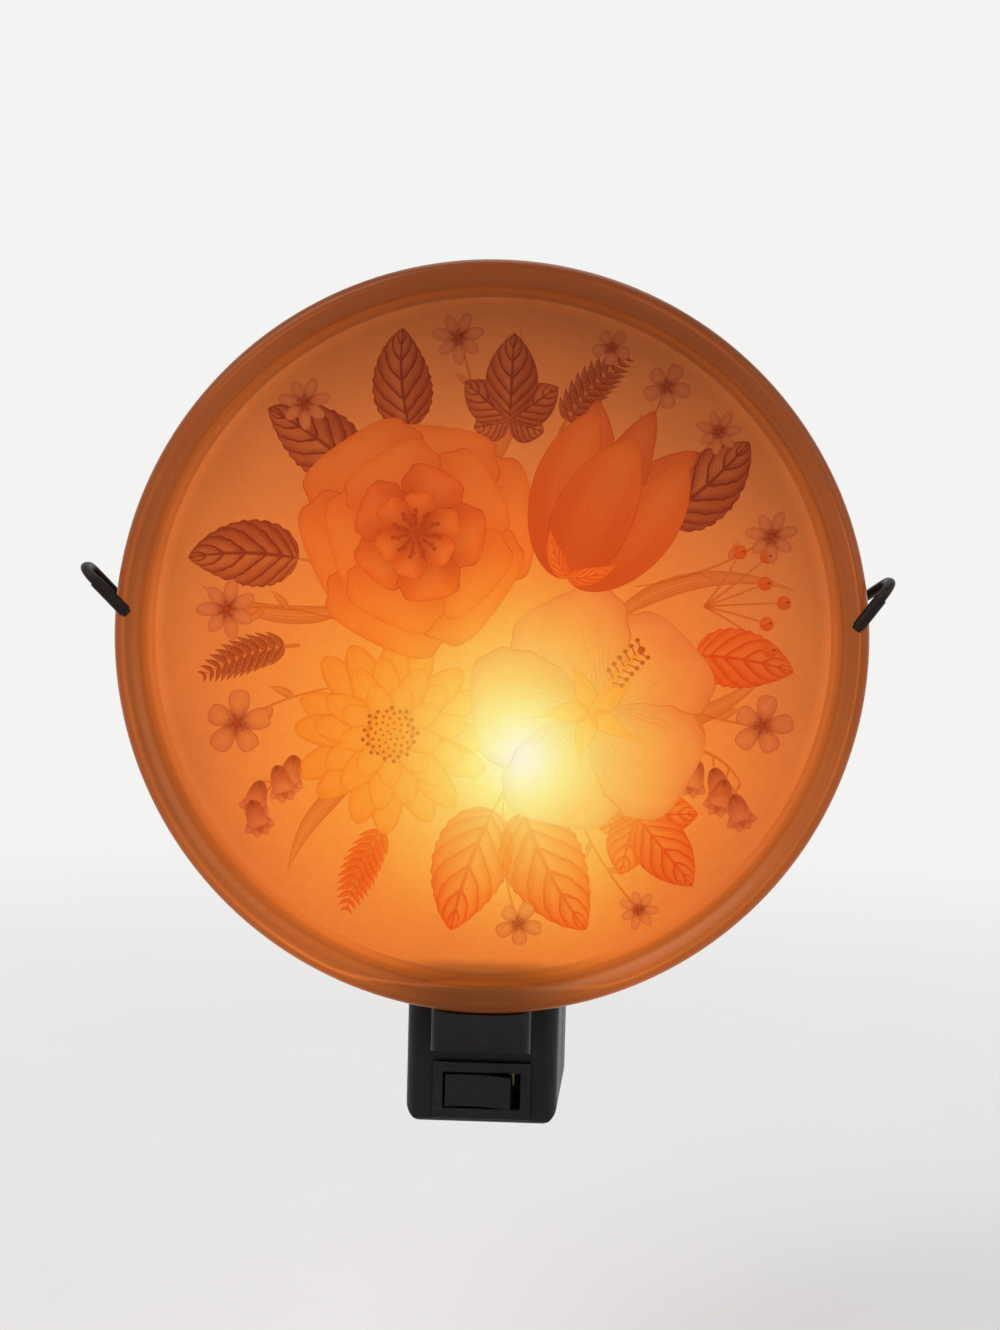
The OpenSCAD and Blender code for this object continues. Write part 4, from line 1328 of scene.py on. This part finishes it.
    def draw_hibiscus(self) -> None:
        """Draws the pale hibiscus with its long column."""
        centre, radius, start = self.hibiscus_at
        for i in range(5):
            petal = Axis(centre, start + 72 * i, radius, 14)
            self.cream.shape(petal, radius * 0.5, Outline.BROAD, 7 + i, (4.5, 0.03), 22, 12)
        for i in range(5):
            streak = Axis(centre, start + 6 + 72 * i, radius * 0.42, 8)
            self.pollen.shape(streak, radius * 0.09, Outline.LANCE, 12, steps=8)
        column = Axis(centre, 62.0, radius * 0.66, -18)
        tip = self.pollen.shape(column, 0.6, Outline.STALK, 13)
        for i in range(12):
            at, heading = column.at(0.45 + 0.05 * i)
            end = self.hearts.stalk(Axis(at, heading + (70 if i % 2 else -70), 1.7), 0.12, 14)
            self.hearts.dot(end, self.anther, 15)
        self.hearts.dot(tip, 0.6, 15)

    def draw_dahlia(self) -> None:
        """Draws the dahlia with three rings of rays round a spiral of florets."""
        centre, radius, _ = self.dahlia_at
        for ring, (count, share, width) in enumerate(self.dahlia_rings):
            for i in range(count):
                length = radius * share * (0.95 if i % 3 else 1.0)
                axis = Axis(centre, 360.0 * (i + 0.4 * ring) / count, length, 6 if i % 2 else -5)
                self.rays.shape(axis, radius * width, Outline.OVAL, 7 + 3 * ring + i % 3, steps=16, columns=8)
        self.pollen.dot(centre, radius * 0.24, 16)
        for i in range(60):
            floret = beyond(centre, math.degrees(2.4 * i), radius * 0.036 * math.sqrt(i))
            self.hearts.dot(floret, 0.2 + 0.0024 * i, 17)

    def draw_bells(self) -> None:
        """Draws two sprigs of hanging bellflowers."""
        for sprig in self.bell_sprigs:
            self.stalks.stalk(sprig, 0.28, 2, 16)
            for i in range(4):
                at, heading = sprig.at(0.25 + 0.25 * i)
                hang = -90 + (18 if i % 2 else -14)
                top = self.stalks.stalk(Axis(at, heading - 60, 2.0), 0.2, 3)
                mouth = beyond(top, hang, 3.4)
                for lobe in (-48, 48, -16, 16):
                    axis = Axis(mouth, hang + lobe, 3.0, lobe * 0.5)
                    self.lilac.shape(axis, 1.0, Outline.POINTED, 6 if abs(lobe) < 20 else 5, steps=9)
                self.lilac.shape(Axis(top, hang, 4.6), 1.75, Outline.BELL, 7, steps=12, columns=6)
                for sepal in (-30, 30, 0):
                    self.dusk.shape(Axis(top, hang + sepal, 1.7), 0.36, Outline.LANCE, 9, steps=6)

    def draw_small_flowers(self) -> None:
        """Draws the small flowers, of five or seven petals by turns, on their sprigs."""
        for i, (centre, size, _) in enumerate(self.small_flowers):
            inward = math.degrees(math.atan2(-centre[1], -centre[0]))
            sprig = Axis(centre, inward + 14, math.hypot(*centre) - 24.0, -28)
            self.stalks.stalk(sprig, 0.2, 1, 12)
            for side in (-1, 1):
                at, heading = sprig.at(0.42 + 0.1 * side)
                leaf = Axis(at, heading + side * 130, size, side * 20)
                self.blades.shape(leaf, size * 0.16, Outline.LANCE, 2, steps=10)
            petals, outline, width = (5, Outline.BROAD, 0.38) if i % 2 else (7, Outline.OVAL, 0.27)
            for k in range(petals):
                axis = Axis(centre, 360.0 * k / petals + 18 * size, size * (1.2 - 0.12 * (k % 2)), 8)
                self.small.shape(axis, size * width, outline, 6 + k % 3, steps=12, columns=6)
            self.hearts.dot(centre, size * 0.13, 9)
            for k in range(7):
                self.hearts.dot(beyond(centre, math.degrees(0.9 * k), size * 0.3), 0.18, 9)

    def draw_berries(self) -> None:
        """Draws a sprig of berries."""
        for i in range(6):
            axis = Axis(self.berries_at, 50 - 15 * i, 10.5 + 2.4 * (i % 2), 16 - 6 * i)
            end = self.stalks.stalk(axis, 0.18, 2, 8)
            self.amber.dot(end, 1.15, 5, 20.0)
            self.hearts.dot((end[0] + 0.6, end[1] + 0.1), 0.24, 8)


# ---- The lamp's sub-assemblies ----


@dataclass
class Shade:
    """The pressed-glass dish and its printed film. Sizes are in millimetres.

    The neck's points are offsets from the wall and depths behind the lip. The fall's and the throat's are
    offsets from the crest and from the inner wall, and depths behind the front.
    """

    lip_width: float = 4.4
    lip_depth: float = 3.2
    lip_overhang: float = 1.6
    back_taper: float = 1.4
    corner: float = 1.4
    foot_round: float = 0.5
    floor_draft: float = 0.4
    neck: tuple[Point, ...] = ((-0.35, 0.8), (-0.12, 0.25))
    fall: tuple[Point, ...] = ((-0.55, 0.04), (-1.1, 0.3))
    throat: tuple[Point, ...] = ((0.75, 0.85), (0.3, 1.3), (0.08, 1.9), (0.0, 2.6))
    facets: int = 192

    def outline(self, radius: float, back: float, front: float, floor: float) -> list[Point]:
        """Gives the dish's outline, from the middle of the back round to the middle of the floor.

        Args:
            radius: the dish's radius.
            back: the depth of its back.
            front: the depth of its front.
            floor: the depth of its floor.

        Returns:
            The points as (radius, depth).
        """
        wall = radius - self.lip_overhang
        base = wall - self.back_taper
        bead = self.lip_depth / 2
        crest = radius - bead
        inner = radius - self.lip_width
        foot = inner - self.floor_draft - self.foot_round
        return ([(0.0, back), (base * 0.5, back)]
                + arc((base - self.corner, back - self.corner), self.corner, 90, 8, 8)
                + [(wall + out, front + self.lip_depth + depth) for out, depth in self.neck]
                + arc((crest, front + bead), bead, 72, -90, 18)
                + [(crest + out, front + depth) for out, depth in self.fall]
                + [(inner + out, front + depth) for out, depth in self.throat]
                + arc((foot, floor - self.foot_round), self.foot_round, 0, 90, 6)
                + [(inner * 0.5, floor), (0.0, floor)])

    def build(self, effects: Effects) -> None:
        """Builds the dish, dresses the film and prints the flowers.

        Args:
            effects: the shared node groups.
        """
        low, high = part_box("glass_dish")
        film_low, film_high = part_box("printed_film")
        centre = Vector((0.0, 0.0, (low.z + high.z) / 2))
        radius = (high.x - low.x) / 2 / MM
        points = self.outline(radius, high.y / MM, low.y / MM, film_high.y / MM)
        glass = LitGlass("pressed_glass", centre.z, low.y, film_high.y).build(effects)
        mesh = turned(points, centre, Vector((0, 1, 0)), self.facets)
        piece(mesh, "shade_dish", "glass_shade", glass, ("glass_dish",))
        dress(LitFilm("frosted_ground", centre.z).build(effects), "printed_film")
        FlowerPrint(centre, film_low.y).build(effects)


class Hook(NamedTuple):
    """One hook's sideways run, and the heights of its end, top and knee above the dish's centre."""

    run: float
    end: float
    top: float
    knee: float


@dataclass
class HookWire:
    """The bent wire whose hooks hold the dish, with its vinyl sleeves. Sizes are in millimetres."""

    radius: float = 0.8
    sleeve: float = 0.2
    sleeve_fit: float = 0.02
    end_x: float = 57.4
    leg_y: float = -45.3
    rear_leg_y: float = -39.3
    middle_z: float = 69.5
    knee_x: float = 57.5
    knee_y: float = -31.4
    foot_x: float = 10.3
    lamp_y: float = -16.0
    foot_z: float = 14.0
    run_z: float = 4.5
    bare_end: float = 0.6
    bends: tuple[float, ...] = (2.95, 2.95, 5.0, 4.0, 2.5)
    left: Hook = Hook(7.3, 2.8, 10.0, 1.0)
    right: Hook = Hook(5.5, 3.3, 10.8, 6.0)

    def arm(self, side: int, hook: Hook) -> list[Vector]:
        """Gives one arm's corners.

        Args:
            side: -1 on the left and 1 on the right.
            hook: the arm's hook.

        Returns:
            The corners in metres, from the hook's end to the middle of the body.
        """
        top_x, top_z = self.end_x + hook.run, self.middle_z + hook.top
        corners = [(self.end_x, self.leg_y, self.middle_z + hook.end), (top_x, self.leg_y, top_z),
                   (top_x, self.rear_leg_y, top_z), (self.knee_x, self.knee_y, self.middle_z + hook.knee),
                   (self.foot_x, self.lamp_y, self.foot_z), (self.foot_x, self.lamp_y, self.run_z)]
        return [Vector((side * x, y, z)) * MM for x, y, z in corners]

    def build(self, effects: Effects) -> None:
        """Builds the wire and its sleeves.

        Args:
            effects: the shared node groups.
        """
        left, right = self.arm(-1, self.left), self.arm(1, self.right)
        bends = [bend * MM for bend in self.bends]
        mesh = bmesh.new()
        sweep(mesh, rounded_path(left + right[::-1], bends + bends[::-1]), self.radius * MM)
        black = Moulded("black_wire", (0.008, 0.005, 0.004), 0.4, 0.05, 0.16).build(effects)
        piece(mesh, "hook_wire", "lamp_base", black, ("wire_frame",))
        mesh = bmesh.new()
        for end, top, *_ in (left, right):
            along = (top - end).normalized()
            start, stop = end + along * self.bare_end * MM, top - along * self.bends[0] * MM
            path = [start.lerp(stop, share) for share in shares(8)]
            sweep(mesh, path, (self.radius + self.sleeve) * MM, capped=False)
        bmesh.ops.solidify(mesh, geom=list(mesh.faces), thickness=(self.sleeve - self.sleeve_fit) * MM)
        vinyl = Moulded("vinyl_sleeve", (0.010, 0.006, 0.005), 0.5, 0.15, 0.12).build(effects)
        piece(mesh, "vinyl_sleeves", "lamp_base", vinyl, ("hook_sleeves",))


@dataclass
class LampBody:
    """The two shells, the screws that close them, and the contacts behind the turning plug."""

    rounding: float = 0.25 * MM

    def build(self, effects: Effects) -> None:
        """Builds the shells and dresses what they hold.

        Args:
            effects: the shared node groups.
        """
        black = Moulded("black_plastic", (0.004, 0.003, 0.0024), 0.42, 0.1, 0.2).build(effects)
        for node, name in (("rear_housing", "rear_shell"), ("front_housing", "front_shell")):
            softened(node, name, "lamp_base", black, self.rounding)
        dress(Metal("screw_steel", (0.55, 0.54, 0.52), (0.30, 0.28, 0.25)).build(effects), "housing_screws")
        dress(Moulded("phenolic", (0.20, 0.11, 0.05), 0.5).build(effects), "contact_plate")
        brass = Metal("drawn_brass", (0.70, 0.46, 0.17), (0.34, 0.19, 0.07), 0.28).build(effects)
        dress(brass, "outer_ring", "inner_ring")


@dataclass
class Plug:
    """The disc that turns in the rear shell, with its two blades."""

    rounding: float = 0.2 * MM

    def build(self, effects: Effects) -> None:
        """Builds the disc and the blades.

        Args:
            effects: the shared node groups.
        """
        plastic = Moulded("plug_plastic", (0.005, 0.004, 0.0034), 0.42, 0.12, 0.24).build(effects)
        softened("swivel_disc", "turning_disc", "plug", plastic, self.rounding)
        brass = Metal("blade_brass", (0.78, 0.58, 0.27), (0.40, 0.26, 0.11), 0.24).build(effects)
        for node, name in (("line_blade", "narrow_blade"), ("neutral_blade", "wide_blade")):
            softened(node, name, "plug", brass, self.rounding)


@dataclass
class Lampholder:
    """The insulating sleeve with its screw shell and contacts."""

    rounding: float = 0.15 * MM

    def build(self, effects: Effects) -> None:
        """Builds the sleeve and dresses the contacts.

        Args:
            effects: the shared node groups.
        """
        plastic = Moulded("holder_plastic", (0.006, 0.0045, 0.004), 0.45, 0.12, 0.24).build(effects)
        softened("lampholder_sleeve", "holder_sleeve", "lamp_base", plastic, self.rounding)
        dress(Moulded("cream_insulator", (0.72, 0.64, 0.50), 0.5).build(effects), "lampholder_base")
        brass = Metal("holder_brass", (0.68, 0.45, 0.18), (0.36, 0.2, 0.08), 0.3).build(effects)
        dress(brass, "screw_shell", "centre_contact")


@dataclass
class RockerSwitch:
    """The rocker switch in the body's front and the leads that join it to the plug and the lampholder."""

    case_rounding: float = 0.2 * MM
    rocker_rounding: float = 0.15 * MM

    def build(self, effects: Effects) -> None:
        """Builds the switch and dresses its inside and the leads.

        Args:
            effects: the shared node groups.
        """
        gloss = Moulded("switch_plastic", (0.003, 0.0024, 0.002), 0.34, 0.06, 0.22).build(effects)
        softened("switch_case", "switch_bezel", "lamp_base", gloss, self.case_rounding)
        softened("rocker", "switch_rocker", "switch_rocker", gloss, self.rocker_rounding)
        brass = Metal("switch_brass", (0.70, 0.48, 0.20), (0.38, 0.22, 0.09), 0.3).build(effects)
        dress(brass, "common_terminal", "line_terminal", "contact_lever")
        dress(Moulded("nylon", (0.74, 0.70, 0.62), 0.45).build(effects), "plunger")
        dress(Metal("spring_steel", (0.55, 0.54, 0.52), (0.35, 0.32, 0.28)).build(effects), "plunger_spring")
        dress(Moulded("dark_lead", (0.03, 0.026, 0.023), 0.5).build(effects), "line_lead", "switched_lead")
        dress(Moulded("pale_lead", (0.70, 0.66, 0.58), 0.5).build(effects), "neutral_lead")


@dataclass
class Bulb:
    """The small lamp behind the dish. Sizes are in millimetres."""

    axis_y: float = -16.0
    collar_top: float = 30.86
    seat: float = 2.0
    shoulder: float = 0.4
    neck: float = 5.15
    belly: Point = (11.1, 46.7)
    top: float = 68.5
    glass: float = 0.6
    glow_z: float = 48.7
    stem_z: float = 40.0
    facets: int = 64

    def outline(self, inset: float) -> list[Point]:
        """Gives one face of the glass, from the neck up to the crown.

        Args:
            inset: how far the face lies inside the outer one.

        Returns:
            Its points as (radius, height).
        """
        neck, widest, belly_z = self.neck - inset, self.belly[0] - inset, self.belly[1]
        low, crown = self.collar_top + self.shoulder, self.top - inset - belly_z
        rise = [(neck + (widest - neck) * (1 - math.cos(math.pi * share)) / 2, low + (belly_z - low) * share)
                for share in shares(16)]
        quarters = [math.pi / 2 * share for share in shares(20)[1:]]
        fall = [(widest * max(math.cos(angle), 0.0) ** 0.9, belly_z + crown * math.sin(angle) ** 1.15)
                for angle in quarters]
        return [(neck, self.collar_top - self.seat)] + rise + fall

    def build(self, effects: Effects) -> None:
        """Builds the glass and dresses the rest.

        Args:
            effects: the shared node groups.
        """
        outer, inner = self.outline(0.0), self.outline(self.glass)
        points = outer[:-1] + [(0.0, outer[-1][1]), (0.0, inner[-1][1])] + inner[-2::-1] + outer[:1]
        mesh = turned(points, Vector((0, self.axis_y * MM, 0)), Vector((0, 0, 1)), self.facets)
        glow_z = self.glow_z * MM
        glass = LampGlass("frosted_lamp_glass", glow_z, 0.85).build(effects)
        piece(mesh, "lamp_globe", "bulb", glass, ("bulb_glass",))
        for finish, node in (
                (Metal("plated_base", (0.66, 0.62, 0.54), (0.42, 0.36, 0.28), 0.25), "bulb_screw_base"),
                (Moulded("black_glass", (0.012, 0.010, 0.012), 0.12, 0.02), "bulb_insulator"),
                (Metal("solder", (0.50, 0.49, 0.47), (0.30, 0.29, 0.28), 0.35), "bulb_tip_contact"),
                (LampGlass("stem_glass", self.stem_z * MM, 0.4), "bulb_stem"),
                (Metal("lead_wire", (0.45, 0.42, 0.38), (0.30, 0.26, 0.22)), "bulb_lead_wires"),
                (LampGlass("filament", glow_z, 3.0), "bulb_filament")):
            dress(finish.build(effects), node)


# ---- The stage ----


PALE = (0.97, 0.965, 0.96)
BACKDROP = 0.93


def seen_directly(r: Recipe) -> Value:
    """Gives 1 to rays that show the surroundings directly, in gloss or through glass, and 0 to the rest."""
    rays = r.node("ShaderNodeLightPath").outputs
    return r.maths("MAXIMUM", rays["Is Camera Ray"], rays["Is Glossy Ray"]).most(rays["Is Transmission Ray"])


@dataclass(frozen=True)
class PaleFloor(Finish):
    """A pale floor that fades into the surroundings away from the lamp."""

    fade: Point = (0.18, 0.75)

    def constants(self) -> dict[str, Feed]:
        """Makes it matt."""
        return {"Roughness": 0.9, "Specular IOR Level": 0.1}

    def paint(self, r: Recipe, place: Value, effects: Effects) -> dict[str, Feed]:
        """Gives a faint mottle."""
        return {"Base Color": r.mix(r.noise(place, 14.0, 3.0), (0.80, 0.795, 0.79), (0.83, 0.825, 0.82))}

    def seen(self, r: Recipe, place: Value, shader: Socket) -> Socket:
        """Mixes the far floor with the backdrop's glow.

        Args:
            r: the recipe of the material.
            place: the Object coordinates.
            shader: the shader's output.

        Returns:
            The output of both together.
        """
        glow, both = r.node("ShaderNodeEmission"), r.node("ShaderNodeMixShader")
        r.feed(glow.inputs, PALE, BACKDROP)
        far = r.spread(r.vector("LENGTH", place), *self.fade)
        r.feed(both.inputs, far * seen_directly(r), shader, glow.outputs[0])
        return both.outputs[0]


class SoftLight(NamedTuple):
    """One round studio light: its name, its place and size in metres, and its power in watts."""

    name: str
    place: tuple[float, float, float]
    size: float
    power: float


@dataclass
class Stage:
    """The floor, the lights, and the camera, which stands just right of the dish's axis and a little up."""

    floor_z: float = -72.0 * MM
    floor_size: float = 6.0
    ambient: float = 0.55
    lights: tuple[SoftLight, ...] = (
        SoftLight("key_light", (-0.9, -1.1, 1.3), 1.1, 13.0),
        SoftLight("fill_light", (1.2, -0.9, 0.7), 1.2, 5.0),
        SoftLight("top_light", (0.1, 0.4, 1.5), 1.2, 6.0))
    lit_point: Vector = field(default_factory=lambda: Vector((0, 0, 0.06)))
    sensor: float = 36.0
    lens: float = 64.13
    azimuth: float = 1.654
    elevation: float = 4.234
    roll: float = 1.439
    distance: float = 375.1 * MM
    target: tuple[float, float, float] = (1.7 * MM, -44.0 * MM, 65.75 * MM)

    def build(self, effects: Effects) -> None:
        """Builds the whole stage.

        Args:
            effects: the shared node groups.
        """
        self.build_floor(effects)
        self.build_world()
        for light in self.lights:
            self.build_light(light)
        self.build_camera()

    def build_floor(self, effects: Effects) -> None:
        """Builds the pale floor.

        Args:
            effects: the shared node groups.
        """
        mesh = bmesh.new()
        lowered = Matrix.Translation((0, 0, self.floor_z))
        bmesh.ops.create_grid(mesh, x_segments=2, y_segments=2, size=self.floor_size, matrix=lowered)
        data = bpy.data.meshes.new("floor")
        mesh.to_mesh(data)
        mesh.free()
        data.materials.append(PaleFloor("pale_floor").build(effects))
        floor = bpy.data.objects.new("floor", data)
        bpy.context.scene.collection.objects.link(floor)

    def build_world(self) -> None:
        """Builds the pale surroundings, a little brighter to the camera than as a light."""
        world = bpy.data.worlds.new("pale_room")
        bpy.context.scene.world = world
        world.use_nodes = True
        world.node_tree.nodes.clear()
        r = Recipe(world.node_tree)
        backdrop = r.node("ShaderNodeBackground")
        r.feed(backdrop.inputs, PALE, seen_directly(r) * (BACKDROP - self.ambient) + self.ambient)
        r.feed(r.node("ShaderNodeOutputWorld").inputs, backdrop.outputs[0])

    def build_light(self, light: SoftLight) -> None:
        """Builds one soft studio light, turned to the lamp.

        Args:
            light: its name, place, size and power.
        """
        data = bpy.data.lights.new(light.name, "AREA")
        data.shape, data.size, data.energy = "DISK", light.size, light.power
        made = bpy.data.objects.new(light.name, data)
        made.location = light.place
        made.rotation_mode = "QUATERNION"
        made.rotation_quaternion = (self.lit_point - Vector(light.place)).to_track_quat("-Z", "Y")
        bpy.context.scene.collection.objects.link(made)

    def build_camera(self) -> None:
        """Builds the camera."""
        azimuth, elevation, roll = map(math.radians, (self.azimuth, self.elevation, self.roll))
        level = math.cos(elevation)
        back = Vector((math.sin(azimuth) * level, -math.cos(azimuth) * level, math.sin(elevation)))
        right = (-back).cross(Vector((0, 0, 1))).normalized()
        up = right.cross(-back)
        side = right * math.cos(roll) + up * math.sin(roll)
        top = up * math.cos(roll) - right * math.sin(roll)
        data = bpy.data.cameras.new("camera")
        data.sensor_width, data.lens = self.sensor, self.lens
        data.clip_start, data.clip_end = 0.01, 50.0
        camera = bpy.data.objects.new("camera", data)
        place = Matrix.Translation(Vector(self.target) + back * self.distance)
        camera.matrix_world = place @ Matrix((side, top, back)).transposed().to_4x4()
        bpy.context.scene.collection.objects.link(camera)
        bpy.context.scene.camera = camera


def main() -> None:
    """Builds the stage and the lamp's sub-assemblies in order."""
    logging.basicConfig(level=logging.INFO, format="%(name)s: %(message)s")
    bpy.context.scene.view_settings.view_transform = "Standard"
    effects = Effects.build()
    for part in (Stage(), LampBody(), Plug(), Lampholder(), RockerSwitch(), Bulb(), HookWire(), Shade()):
        part.build(effects)


if __name__ == "__main__":
    main()
